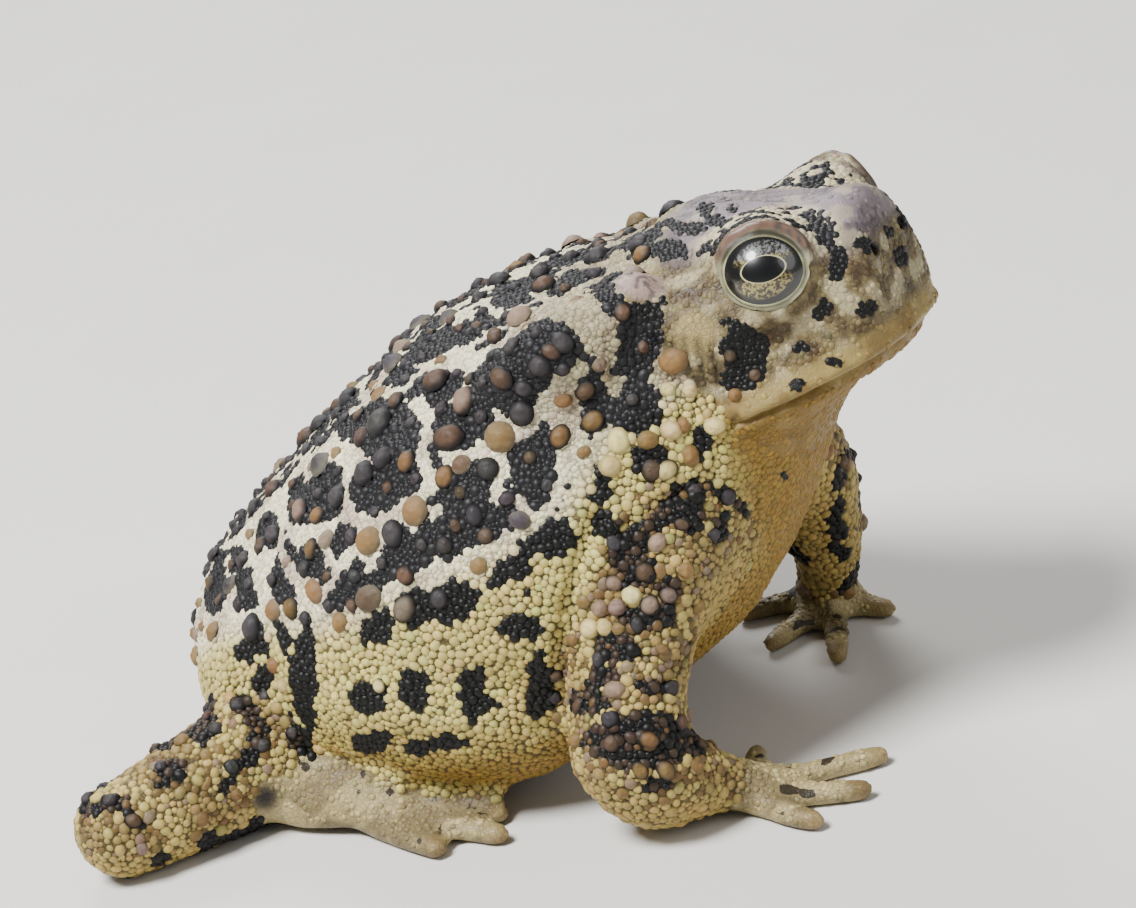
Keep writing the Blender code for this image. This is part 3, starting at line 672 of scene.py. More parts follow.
def mirroredBlotch(blotch):
    flip = Matrix.Diagonal((1, -1, 1))
    hit, normal, first, second = blotch
    normal, first, second = (flip @ part for part in (normal, first, second))
    hit = mirrored(hit) + Vector([random.uniform(-0.9, 0.9) * mm for _ in range(3)])
    near, normal, _, _ = skinTree.find_nearest(hit)
    scale = random.uniform(0.8, 1.15)
    return near, normal, first * scale, second * random.uniform(0.8, 1.15)


def layBlotches():
    laid = []
    for part, rows in blotches.items():
        for row in rows:
            blotch = layBlotch(*row)
            if blotch is None:
                continue
            laid.append(blotch)
            if part != "limbs" and abs(blotch[0].y) > toad["midline"] * mm:
                laid.append(mirroredBlotch(blotch))
    return laid


laidBlotches = layBlotches()


def edgeBearings():
    shares, bearings = [], []
    for x, y in upperEdge:
        hit, _ = lookUp(x, y)
        share, bearing = bodyBearing(np.array([hit]))
        shares.append(share[0])
        bearings.append(bearing[0])
    order = np.argsort(shares)
    return np.array(shares)[order], np.array(bearings)[order]


edgeShares, edgeTurns = edgeBearings()


def noiseAt(points, perMm, offset=0.0):
    move = Vector((offset, offset, offset))
    return np.array([noise.noise(Vector(point) * (perMm / mm) + move) for point in points])


def cellGap(points, perMm):
    # how far inside its cell of a Voronoi pattern a point lies
    gaps = []
    for point in points:
        distances, _ = noise.voronoi(Vector(point) * (perMm / mm))
        gaps.append(distances[1] - distances[0])
    return np.array(gaps)


marking = {
    "merge": 0.1,  # blotches this near each other, in mm, run together
    "grow": {"upper": 0.22, "flank": 0.0, "limb": 0.1},
    "backCells": 0.3,
    "backLines": 0.14,
    "backReach": (26, 42),  # degrees off the back where the close pattern fades out
    "limbShare": 0.12,
    "footShare": 0.3,
}


def layBands():
    # runs of points on the skin with half a width in mm, on both sides
    laid = []
    for row, half in creamBands:
        for line in laidFold(row, skinTree):
            laid.append((line, half / view["pixelsPerMm"]))
    return laid


laidBands = layBands()


def bandField(points, shelf):
    # how far inside a cream band a point lies, in mm
    inside = np.full(len(points), -9.0)
    for line, half in laidBands:
        for start, end in zip(line, line[1:]):
            if not 1e-6 < np.linalg.norm(end - start) < 7 * mm:
                continue
            near = shelf.near((start[0] + end[0]) / 2, 5 * mm)
            inside[near] = np.maximum(inside[near], half - awayFromRun(points[near], start, end))
    return inside


def blotchField(points, owners, bearing, upper):
    # distance in mm outside the nearest dark blotch, negative inside
    total = np.full(len(points), math.exp(-9.0 / marking["merge"]))
    shelf = Shelf(points)
    for hit, normal, first, second in laidBlotches:
        near = shelf.near(hit.x, (first.length + second.length) * 1.3)
        part = points[near] - np.array(hit)
        depth = np.abs(part @ np.array(normal))
        basis = np.column_stack((first, second, normal))
        local = part @ np.linalg.pinv(basis).T
        ring = np.hypot(local[:, 0], local[:, 1])
        size = min(first.length, second.length) / mm
        value = (ring - 1) * size + 3 * blendStep(0.8, 1.4, depth / max(first.length, second.length))
        total[near] += np.exp(-np.clip(value, -2.5, 9) / marking["merge"])
    field = -marking["merge"] * np.log(total)
    grow = marking["grow"]
    field -= isNode(owners, "torso") * (grow["flank"] + (grow["upper"] - grow["flank"]) * upper)
    field -= grow["limb"] * isNode(owners, "upper", "forearm", "thigh", "shank")
    torso = isNode(owners, "torso") & (bearing < 55)
    extra = np.full(len(points), 9.0)
    extra[torso] = (marking["backLines"] - cellGap(points[torso], marking["backCells"])) * 3
    extra += 6 * blendStep(*marking["backReach"], bearing) * isNode(owners, "torso")
    free = isNode(owners, "thigh", "shank") | (isNode(owners, "upper", "forearm") & (points[:, 1] > 0))
    extra[free] = (marking["limbShare"] - noiseAt(points[free], 0.42, 5.0)) * 3
    tips = isNode(owners, "hand", "foot")
    extra[tips] = (marking["footShare"] - noiseAt(points[tips], 0.8, 8.0)) * 2.5
    field = np.minimum(field, extra)
    wobble = 0.24 * noiseAt(points, 0.9) + 0.16 * noiseAt(points, 2.3, 3.0)
    field = np.where(isNode(owners, "torso"), np.maximum(field, bandField(points, shelf)), field)
    return field + wobble


tones = {
    # belly is the belly's own colour, darkened further as painted shade underneath
    "flank": "#a89b5c", "white": "#d9d1b0", "belly": "#7a6024", "throat": "#7c5e1c",
    "charcoal": "#060605", "slate": "#161517", "crown": "#73686b", "cheek": "#6f6240",
    "lip": "#8f7b46", "face": "#54472f", "bone": "#c3b791", "limb": "#96824a", "hand": "#a39468",
    # gap is painted shade on the skin between the flank granules
    "tip": "#7d6236", "gap": "#40320f", "spade": "#1c120b",
    "brown": "#66522f", "grime": "#332c20", "knob": "#9d877c", "tympanum": "#8c7c50",
    # pit is painted shade inside the nostrils; fold is painted shade along the folds
    "ochre": "#6b4d22", "bark": "#3a2a19", "mauve": "#4c4346", "pit": "#050404", "fold": "#221809",
}
tone = {name: linear(code) for name, code in tones.items()}
digitTips = {
    -1: ((11.6, 8.0, 0.7), (19.8, 8.8, 0.7), (19.6, 13.2, 0.7), (17.4, 17.0, 0.7)),
    1: ((5.9, 12.4, 0.7), (8.9, 7.6, 0.7), (14.0, 5.4, 0.7), (16.0, 12.2, 0.7)),
}
toeTips = ((-8.8, 12.2, 0.7), (-6.0, 13.2, 0.7), (-3.6, 15.0, 0.7), (-2.8, 17.8, 0.7), (-6.4, 19.4, 0.7))
spadeSpot = (-19.0, 15.9, 3.2)
knobSpot = (640, 275)
tympanumSpot = (695, 332)


def nearness(points, spot, inner, outer):
    return blendStep(outer, inner, np.linalg.norm(points - np.array(spot), axis=1) / mm)


def layered(base, *layers):
    # named tones laid over a base one after another, each with its share
    for name, share in layers:
        base = mixTone(base, tone[name], share)
    return base


def headTones(points, head, coarse, fine):
    count = len(points)
    patch = noiseAt(points, 0.7, 4.0)
    fleck = noiseAt(points, 2.4, 7.0)
    temple = blendStep(5.0, 0.0, head[:, 0]) * 0.08
    face = layered(
        np.tile(tone["face"], (count, 1)),
        ("cheek", blendStep(-0.25, 0.25, fine)),
        ("bone", blendStep(0.1, 0.4, patch + temple) * 0.5),
        ("bark", blendStep(0.12, 0.34, 0.25 * fleck - patch - temple) * 0.8),
    )
    crown = blendStep(8.0, 9.8, head[:, 2] + 0.22 * head[:, 0]) * blendStep(6.6, 4.6, np.abs(head[:, 1]))
    shaded = -coarse - 0.6 * fleck - 0.3 * fine
    top = layered(
        np.tile(tone["crown"], (count, 1)),
        ("mauve", blendStep(0.0, 0.35, shaded) * 0.85),
        ("bone", blendStep(0.15, 0.45, patch + 0.3 * fine) * 0.3),
    )
    face = mixTone(face, top, crown)
    lip = blendStep(2.3, 1.2, head[:, 2] - 0.2) * blendStep(-0.2, 0.2, head[:, 2])
    warm = lip * blendStep(0.05, 0.35, coarse + 0.5 * fine) * 0.5
    face = layered(face, ("lip", lip * 0.9), ("ochre", warm))
    return face, crown, lip


def roundMarks(points, pixel, inner, outer):
    # how near points are to a round mark of the photo, on either side
    hit, _ = lookUp(*pixel)
    return sum(nearness(points, spot, inner, outer) for spot in (hit, mirrored(hit)))


def digitMarks(points):
    # the tips of the fingers and toes, and the spades under the feet
    tips = np.zeros(len(points))
    spades = np.zeros(len(points))
    for side in (-1, 1):
        for x, y, z in (*digitTips[side], *toeTips):
            tips = np.maximum(tips, nearness(points, place(x, side * y, z), 0.4, 1.4))
        x, y, z = spadeSpot
        spades = np.maximum(spades, nearness(points, place(x, side * y, z), 0.9, 1.6))
    return tips, spades


def markSkin(points, normals, owners):
    share, bearing = bodyBearing(points)
    head = headCoordinates(points)
    onHead = isNode(owners, "head").astype(float)
    onTorso = isNode(owners, "torso").astype(float)
    onLimb = isNode(owners, "upper", "forearm", "thigh", "shank").astype(float)
    onTip = isNode(owners, "hand", "foot").astype(float)
    border = np.interp(share, edgeShares, edgeTurns)
    upper = blendStep(border + 6, border - 6, bearing) * onTorso
    under = blendStep(0.1, -0.6, normals[:, 2])
    front = blendStep(12.5, 15.5, (points[:, 0] / mm - ownShift.x)) * blendStep(0.35, -0.1, normals[:, 2])
    throat = np.maximum(onHead * blendStep(0.1, -0.5, head[:, 2] - 0.2), front * onTorso)
    coarse = noiseAt(points, 0.35, 9.0)
    fine = noiseAt(points, 1.6, 2.0)
    pale = layered(
        np.tile(tone["flank"], (len(points), 1)),
        ("white", upper),
        ("knob", upper * blendStep(-0.1, 0.35, coarse + 0.3 * fine) * 0.6),
        ("cheek", upper * blendStep(0.72, 0.95, share) * 0.7),
        # on the underside the belly tone is partly painted shade
        ("belly", under * (1 - upper)),
        ("limb", onLimb * 0.7),
        ("brown", onLimb * (1 - under) * blendStep(-0.1, 0.3, coarse + 0.5 * fine) * 0.7),
        ("hand", onTip),
        ("face", onTip * blendStep(-0.15, 0.35, coarse + 0.5 * fine) * 0.7),
    )
    face, crown, lip = headTones(points, head, coarse, fine)
    pale = mixTone(pale, face, onHead * blendStep(-5.5, -1.5, head[:, 0]))
    pale = mixTone(pale, tone["throat"], throat * 0.85)
    knobs = roundMarks(points, knobSpot, 1.4, 2.1)
    drums = roundMarks(points, tympanumSpot, 0.9, 1.7)
    streaks = knobs * blendStep(0.12, 0.3, noiseAt(points, 2.6, 1.0)) * 0.8
    pale = layered(pale, ("knob", knobs), ("mauve", streaks), ("tympanum", drums))
    tips, spades = digitMarks(points)
    pale = layered(pale, ("tip", tips * 0.5 * onTip), ("spade", spades * onTip))
    dark = np.tile(tone["charcoal"], (len(points), 1))
    dark = layered(dark, ("slate", np.maximum(upper * 0.9, onHead * crown)), ("grime", onTip))
    field = blotchField(points, owners, bearing, upper)
    smooth = onTip * blendStep(0.5, -0.1, normals[:, 2]) + tips + throat * onHead
    field = field + 3 * knobs + 3 * drums + 3 * smooth
    brow = np.zeros(len(points))
    for side in (-1, 1):
        _, reach, tilt, turn = eyeAngles(points, side)
        field = field + 3 * blendStep(3.9, 3.5, reach) * onHead
        above = blendStep(0.1, 0.6, np.sin(np.radians(turn)))
        brow = np.maximum(brow, onHead * above * blendStep(5.6, 4.6, reach) * blendStep(25, 40, tilt - 45))
    speckle = (0.02 - noiseAt(points, 1.05, 6.0)) * 2.5
    field = np.where(brow > 0.5, np.minimum(field, speckle), field)
    pale = mixTone(pale, tone["bone"], brow * 0.8)
    # painted shade: the nostril pits are painted near-black
    nostrilShade = np.maximum(*(nearness(points, spot, 0.28, 0.48) for spot in nostrilSpots))
    pale = mixTone(pale, tone["pit"], nostrilShade)
    dark = mixTone(dark, tone["pit"], nostrilShade)
    pearly = (onTorso * (1 - upper) + onLimb) * (1 - throat)
    return {
        "pale": pale, "dark": dark, "field": field, "upper": upper, "throat": throat, "crown": crown * onHead,
        "pearly": pearly, "under": under, "onHead": onHead, "onTip": onTip, "onLimb": onLimb, "brow": brow,
        "knobs": knobs, "drums": drums, "head": head, "lip": lip * onHead, "tips": tips,
    }


def floatAttribute(mesh, name, values):
    layer = mesh.attributes.new(name, "FLOAT", "POINT")
    layer.data.foreach_set("value", np.asarray(values, np.float32))


def colourAttribute(mesh, name, values):
    layer = mesh.attributes.new(name, "FLOAT_COLOR", "POINT")
    full = np.column_stack((values, np.ones(len(values))))
    layer.data.foreach_set("color", full.astype(np.float32).ravel())


skinMarks = markSkin(pointsOf(skinMesh), normalsOf(skinMesh), skinOwners)
colourAttribute(skinMesh, "paleTone", skinMarks["pale"])
colourAttribute(skinMesh, "darkTone", skinMarks["dark"])
floatAttribute(skinMesh, "blotchEdge", skinMarks["field"])
floatAttribute(skinMesh, "pearly", skinMarks["pearly"])
floatAttribute(skinMesh, "folded", skinFolds)
sleekness = np.maximum.reduce([
    skinMarks["crown"], skinMarks["lip"], skinMarks["knobs"],
    0.55 * skinMarks["onHead"], 0.5 * skinMarks["onTip"],
])
floatAttribute(skinMesh, "smoothness", sleekness)
print("skin marked")

# Unwrap: each part of the body has one patch for each of the six ways its surface can face

unwrap = {
    "torso": (0.0, 0.0, 3, 0.33, 0.22),  # corner u and v, patches across, patch size
    "head": (0.0, 0.45, 6, 0.165, 0.14),
    "limbs": (0.0, 0.60, 18, 0.055, 0.098),
}


def skinPlace(points, normals, owners):
    # u and v of points of the skin on its unwrap
    ways = np.abs(normals).argmax(axis=1)
    facing = ways * 2 + (np.take_along_axis(normals, ways[:, None], 1)[:, 0] > 0)
    uv = np.zeros((len(points), 2))
    limbs = [name for name in allFlesh if name not in ("torso", "head")]
    for name in allFlesh:
        key = name if name in unwrap else "limbs"
        cornerU, cornerV, across, wide, high = unwrap[key]
        low, far = (np.array(corner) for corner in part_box(name))
        span = (far - low).max() * 1.15
        slot = limbs.index(name) * 6 if key == "limbs" else 0
        for way in range(6):
            chosen = (owners == nodeNumber[name]) & (facing == way)
            keep = [axis for axis in range(3) if axis != way // 2]
            local = np.clip((points[chosen][:, keep] - low[keep]) / span + 0.06, 0, 1)
            number = slot + way
            uv[chosen, 0] = cornerU + (number % across) * wide + local[:, 0] * wide * 0.96
            uv[chosen, 1] = cornerV + (number // across) * high + local[:, 1] * high * 0.96
    return uv


def unwrapSkin(mesh, owners):
    layer = mesh.uv_layers.new(name="OFBake")
    points = pointsOf(mesh)
    corners = np.empty(len(mesh.loops), np.int32)
    mesh.loops.foreach_get("vertex_index", corners)
    totals = np.empty(len(mesh.polygons), np.int32)
    mesh.polygons.foreach_get("loop_total", totals)
    flat = np.empty(len(mesh.polygons) * 3, np.float32)
    mesh.polygons.foreach_get("normal", flat)
    faceNormals = np.repeat(flat.reshape(-1, 3), totals, axis=0)
    starts = np.concatenate(([0], np.cumsum(totals)[:-1]))
    faceOwners = np.repeat(owners[corners[starts]], totals)
    uv = skinPlace(points[corners], faceNormals, faceOwners)
    layer.data.foreach_set("uv", uv.astype(np.float32).ravel())


unwrapSkin(skinMesh, skinOwners)
print("skin unwrapped")

# Granules and warts

granules = {
    "candidates": 400000,
    "crowd": 0.86,  # centres keep this share of the sum of their radii apart
    "spread": 1.38,  # a granule's skirt reaches this many radii, so that neighbours meet
    "second": 0.62,  # size of the granules that fill what the first ones leave
    "patch": 0.0015,  # half the size of a granule's place on the unwrap
    "perPiece": 7500,  # keeps each piece under 200,000 triangles
    "flank": 0.275, "dark": 0.27, "darkUpper": 0.22, "upperPale": 0.19, "belly": 0.24, "throat": 0.16,
    "limb": 0.28, "face": 0.17, "chest": 0.22, "foot": 0.17,
}
finishes = {
    "slate": "#332f30", "umber": "#4a392c", "tan": "#69502f", "pink": "#735f50", "cream": "#b5a26e",
}


def scatterCandidates(mesh, owners):
    mesh.calc_loop_triangles()
    flat = np.empty(len(mesh.loop_triangles) * 3, np.int32)
    mesh.loop_triangles.foreach_get("vertices", flat)
    corners = flat.reshape(-1, 3)
    points, normals = pointsOf(mesh), normalsOf(mesh)
    a, b, c = (points[corners[:, i]] for i in range(3))
    area = np.linalg.norm(np.cross(b - a, c - a), axis=1)
    picked = dice.choice(len(corners), granules["candidates"], p=area / area.sum())
    first, second = dice.random((2, granules["candidates"]))
    over = first + second > 1
    first[over], second[over] = 1 - first[over], 1 - second[over]
    first, second = first[:, None], second[:, None]
    spots = a[picked] * (1 - first - second) + b[picked] * first + c[picked] * second
    ways = normals[corners[picked]].sum(axis=1)
    ways /= np.linalg.norm(ways, axis=1)[:, None]
    return spots, ways, owners[corners[picked, 0]]


def granuleRadius(marks):
    size = np.full(len(marks["field"]), granules["flank"])
    inDark = marks["field"] < 0
    above = marks["upper"] > 0.5
    head = marks["onHead"] > 0.5
    size = np.where(above, granules["upperPale"] * dice.uniform(0.6, 1.35, len(size)), size)
    size = np.where(inDark & ~head, np.where(above, granules["darkUpper"], granules["dark"]), size)
    size = np.where((marks["under"] > 0.5) & ~above, granules["belly"], size)
    size = np.where(inDark & above, size * dice.uniform(0.7, 1.5, len(size)), size)
    size = np.where(marks["onLimb"] > 0.5, granules["limb"] * dice.uniform(0.7, 1.35, len(size)), size)
    size = np.where(marks["throat"] > 0.4, granules["chest"], size)
    size = np.where(marks["onTip"] > 0.5, granules["foot"], size)
    size = np.where(head, granules["face"], size)
    size = np.where(head & (inDark | (marks["brow"] > 0.4)), granules["darkUpper"], size)
    size = np.where(head & (marks["throat"] > 0.4), granules["throat"], size)
    return size * dice.uniform(0.78, 1.2, len(size))


def keepChance(marks):
    # how likely a granule is to stand there
    chance = np.ones(len(marks["field"]))
    chance[(marks["upper"] > 0.5) & (marks["field"] > 0)] = 0.42
    head = marks["onHead"] > 0.5
    chance[head] = 0.08
    chance[head & (marks["field"] < 0)] = 0.9
    chance[marks["brow"] > 0.4] = 0.7
    chance[(marks["crown"] > 0.3) & (marks["brow"] < 0.4)] = 0.02
    chance[(marks["crown"] > 0.3) & (marks["field"] < 0.05)] = 0.9
    chance[marks["lip"] > 0.5] = 0.02
    chance[marks["knobs"] > 0.3] = 0.01
    chance[marks["drums"] > 0.3] = 0.03
    chance[marks["onTip"] > 0.5] = 0.08
    bare = (marks["tips"] > 0.1) | (marks["under"] > 0.1) | (marks["field"] < 0.15)
    chance[(marks["onTip"] > 0.5) & bare] = 0
    return chance


class Crowd:
    # keeps the roots that stand already, in cells, to test new ones against
    def __init__(self, cell, share):
        self.cell = cell
        self.share = share
        self.cells = {}
        steps = (-1, 0, 1)
        self.around = [i + 4096 * j + 4096**2 * k for i in steps for j in steps for k in steps]

    def codes(self, spots):
        return ((np.floor(spots / self.cell) + 2048) @ (1, 4096, 4096**2)).astype(np.int64).tolist()

    def take(self, code, spot, radius):
        # True, and the root stands, where no other is too near
        cells, share = self.cells, self.share
        x, y, z = spot
        for step in self.around:
            for otherX, otherY, otherZ, size in cells.get(code + step, ()):
                if (x - otherX) ** 2 + (y - otherY) ** 2 + (z - otherZ) ** 2 < ((radius + size) * share) ** 2:
                    return False
        cells.setdefault(code, []).append((x, y, z, radius))
        return True


wartShare = 0.78  # a listed wart's own radius, as a share of the one in the photo, which has its skirt


def plantWarts(crowd):
    planted = []
    for x, y, radius, finish in warts:
        hit, normal = lookUp(x, y)
        if hit is None:
            continue
        size = radius / view["pixelsPerMm"] * wartShare
        sides = [(hit, normal)]
        if hit.y < -toad["midline"] * mm:
            loose = mirrored(hit) + Vector([random.uniform(-0.8, 0.8) * mm for _ in range(3)])
            near, facing, _, _ = skinTree.find_nearest(loose)
            if (near - loose).length < 1.5 * mm:
                sides.append((near, facing))
        for spot, way in sides:
            if crowd.take(crowd.codes(np.array(spot / mm)), tuple(spot / mm), size * 0.9):
                planted.append((tuple(spot), tuple(way), size, finish))
    return planted


scattered = {"onLimb": 0.25, "notInPale": 0.9, "room": 0.62}  # chances, and free space in mm round a wart


def plantRandomWarts(crowd, spots, ways, owners, marks):
    planted = []
    share, bearing = bodyBearing(spots)
    torso = (marks["upper"] > 0.6) & (share > -0.15) & (marks["knobs"] < 0.1)
    limb = isNode(owners, "thigh", "upper", "forearm", "shank") & (marks["under"] < 0.4)
    codes = crowd.codes(spots / mm)
    for number in dice.permutation(len(spots))[: len(spots) // 8]:
        inDark = marks["field"][number] < 0
        if not (torso[number] or (limb[number] and dice.random() < scattered["onLimb"])):
            continue
        if not inDark and dice.random() < scattered["notInPale"]:
            continue
        size = 0.3 + 0.4 * dice.random() ** 2.5 if torso[number] else dice.uniform(0.3, 0.42)
        if crowd.take(codes[number], tuple(spots[number] / mm), size + scattered["room"]):
            finish = random.choice(("slate", "slate", "umber") if inDark else ("tan", "tan", "pink"))
            planted.append((tuple(spots[number]), tuple(ways[number]), size, finish))
    return planted


wartMound = (0.42, 1.3)  # the skin swells under a wart by this share of its radius, over this many radii


def swellUnderWarts(points, planted):
    # the swollen points, and how far each is from the nearest wart's edge in mm
    high, wide = wartMound
    lifted = points.copy()
    gap = np.full(len(points), 9.0)
    shelf = Shelf(points)
    for spot, way, size, _ in planted:
        near = shelf.near(spot[0], 3.2 * size * mm)
        distance = np.linalg.norm(points[near] - np.array(spot), axis=1) / mm
        gap[near] = np.minimum(gap[near], distance - size)
        lift = high * size * bell(distance, wide * size)
        lifted[near] += np.array(way) * (lift * (distance < 3.2 * size) * mm)[:, None]
    return lifted, gap


def dome(sides, rings, softness):
    # a mound from the upper half of a ball; softness above 1 flares its foot
    shape = bmesh.new()
    bmesh.ops.create_uvsphere(shape, u_segments=sides, v_segments=rings, radius=1)
    low = [vert for vert in shape.verts if vert.co.z < -0.1]
    bmesh.ops.delete(shape, geom=low, context="VERTS")
    bmesh.ops.triangulate(shape, faces=shape.faces)
    mesh = meshFrom(shape, "dome")
    faces = np.array([face.vertices[:] for face in mesh.polygons])
    corners = pointsOf(mesh)
    corners[:, 2] = np.clip(corners[:, 2], 0, 1) ** softness
    return corners, faces


# Sides, rings and flare of a dome, the share of its height that is sunk, its roughness in mm and
# the span of its height where its tone turns to that of the top
granuleForm = ((8, 4, 1.0), 0.5, 0.0, (0.2, 1.0))
wartForm = ((18, 16, 1.5), 0.25, 0.16, (0.12, 0.85))
wartSkirt = 1.45  # a wart with its skirt and a wart's height, as shares of its radius
wartHeight = 0.8


def joinDomes(name, roots, form, sink, rough, crownSpan):
    # one mesh of many domes, from arrays, one row for each root
    corners, faces = dome(*form)
    count = len(roots["spot"])
    way = roots["way"]
    side = np.cross(way, dice.normal(size=(count, 3)))
    side /= np.linalg.norm(side, axis=1)[:, None]
    other = np.cross(way, side)
    wide = (roots["radius"] * mm)[:, None, None]
    longer = dice.uniform(0.88, 1.14, count)[:, None, None]
    tall = (roots["height"] * mm)[:, None, None]
    lift = corners[None, :, 2:3] * (1 + sink) - sink
    points = roots["spot"][:, None, :] + side[:, None, :] * corners[None, :, 0:1] * wide * longer
    points = points + other[:, None, :] * corners[None, :, 1:2] * wide / longer
    points = points + way[:, None, :] * lift * tall
    if rough:
        points = points.reshape(-1, 3)
        bumps = rough * (0.6 * noiseAt(points, 2.2, 4.0) + 0.4 * noiseAt(points, 5.0, 1.0))
        points = points + (np.repeat(way, len(corners), axis=0) * (bumps * mm)[:, None])
    points[..., 2] = np.maximum(points[..., 2], 0)
    mesh = bpy.data.meshes.new(name)
    allFaces = (faces[None] + (np.arange(count) * len(corners))[:, None, None]).reshape(-1, 3)
    mesh.vertices.add(count * len(corners))
    mesh.loops.add(len(allFaces) * 3)
    mesh.polygons.add(len(allFaces))
    mesh.vertices.foreach_set("co", points.astype(np.float32).ravel())
    mesh.loops.foreach_set("vertex_index", allFaces.astype(np.int32).ravel())
    mesh.polygons.foreach_set("loop_start", np.arange(0, len(allFaces) * 3, 3, dtype=np.int32))
    mesh.update(calc_edges=True)
    crown = blendStep(*crownSpan, corners[:, 2])[None, :, None]
    shades = roots["footTone"][:, None, :] * (1 - crown) + roots["topTone"][:, None, :] * crown
    colourAttribute(mesh, "domeTone", shades.reshape(-1, 3))
    floatAttribute(mesh, "cap", np.tile(corners[:, 2], count))
    middle = skinPlace(roots["spot"], way, roots["owner"])
    uv = middle[:, None, :] + corners[None, :, :2] * granules["patch"]
    layer = mesh.uv_layers.new(name="OFBake")
    layer.data.foreach_set("uv", uv.reshape(-1, 2)[allFaces.ravel()].astype(np.float32).ravel())
    mesh.shade_smooth()
    mesh.validate()
    return newObject(name, mesh)


def plantGranules(spots, marks, gap):
    radii = granuleRadius(marks)
    wanted = dice.random(len(spots)) < keepChance(marks)
    wanted &= gap > -0.1
    for side in (-1, 1):
        away, reach, tilt, bearing = eyeAngles(spots, side)
        wanted &= ~((reach < 5.5) & (tilt - openingAngle(bearing) < 16))
    for spot in nostrilSpots:
        wanted &= np.linalg.norm(spots - np.array(spot), axis=1) > 0.7 * mm
    mouth = np.abs(marks["head"][:, 2] - headDetail["mouthHeight"]) < 0.35
    wanted &= ~(mouth & (marks["onHead"] > 0.5) & (marks["head"][:, 0] > -1.2))
    crowd = Crowd(0.66, granules["crowd"])
    kept = []
    codes = crowd.codes(spots / mm)
    local = (spots / mm).tolist()
    for size in (1.0, granules["second"]):
        for number in np.nonzero(wanted)[0]:
            if crowd.take(codes[number], local[number], float(radii[number]) * size):
                kept.append(number)
                wanted[number] = False
                radii[number] *= size
    return np.array(kept), radii


def warmth(count, spread):
    return 1 + dice.normal(0, spread, (count, 1)) + dice.normal(0, spread * 0.35, (count, 3))


def granuleTones(marks, kept):
    count = len(kept)
    inDark = marks["field"][kept] < 0
    # painted highlight: granule crowns are lighter than the skin round them, the pearly flank ones most and
    # the dark ones too
    paintedCrownLight = (1.04 + 0.22 * marks["pearly"][kept])[:, None]
    top = np.where(inDark[:, None], marks["dark"][kept] * 1.3 + 0.0015, marks["pale"][kept] * paintedCrownLight)
    limb = (marks["onLimb"][kept] > 0.5) & (marks["under"][kept] < 0.5)
    roll = dice.random(count)
    top[limb & inDark & (roll < 0.4)] = linear(finishes["umber"]) * 0.6
    top[limb & inDark & (roll > 0.92)] = linear(finishes["tan"]) * 0.8
    top[limb & ~inDark & (roll < 0.2)] = linear(finishes["tan"]) * 0.9
    top[limb & ~inDark & (roll > 0.92)] = linear(finishes["pink"])
    # painted shade: pearly granules darken towards their feet
    pale = marks["pale"][kept] * (1 - 0.35 * marks["pearly"][kept])[:, None]
    foot = np.where(inDark[:, None], marks["dark"][kept], pale)
    spread = warmth(count, 0.1)
    return np.clip(foot * spread, 0.001, 0.95), np.clip(top * spread, 0.001, 0.95)


def wartTones(planted, owner):
    spots = np.array([row[0] for row in planted])
    marks = markSkin(spots, np.array([row[1] for row in planted]), owner)
    inDark = marks["field"] < 0.1
    ground = np.where(inDark[:, None], marks["dark"], marks["pale"])
    top = np.array([linear(finishes[row[3]]) for row in planted]) * warmth(len(planted), 0.12)
    top = top * np.where(inDark, 1.0, 1.2)[:, None]
    # on pale ground the skirt takes the top's own brown, darkened as painted shade at the foot
    foot = mixTone(ground, top * 0.7, np.where(inDark, 0.0, 0.85))
    return foot, np.clip(top, 0.001, 0.95)


def joinWarts(large):
    spots, ways, size = (np.array([row[i] for row in large]) for i in range(3))
    owner = ownersOf(spots)
    foot, top = wartTones(large, owner)
    roots = {
        "spot": swellUnderWarts(spots, large)[0], "way": ways, "radius": size * wartSkirt, "owner": owner,
        "height": size * wartHeight, "footTone": foot, "topTone": top,
    }
    return joinDomes("warts", roots, *wartForm)


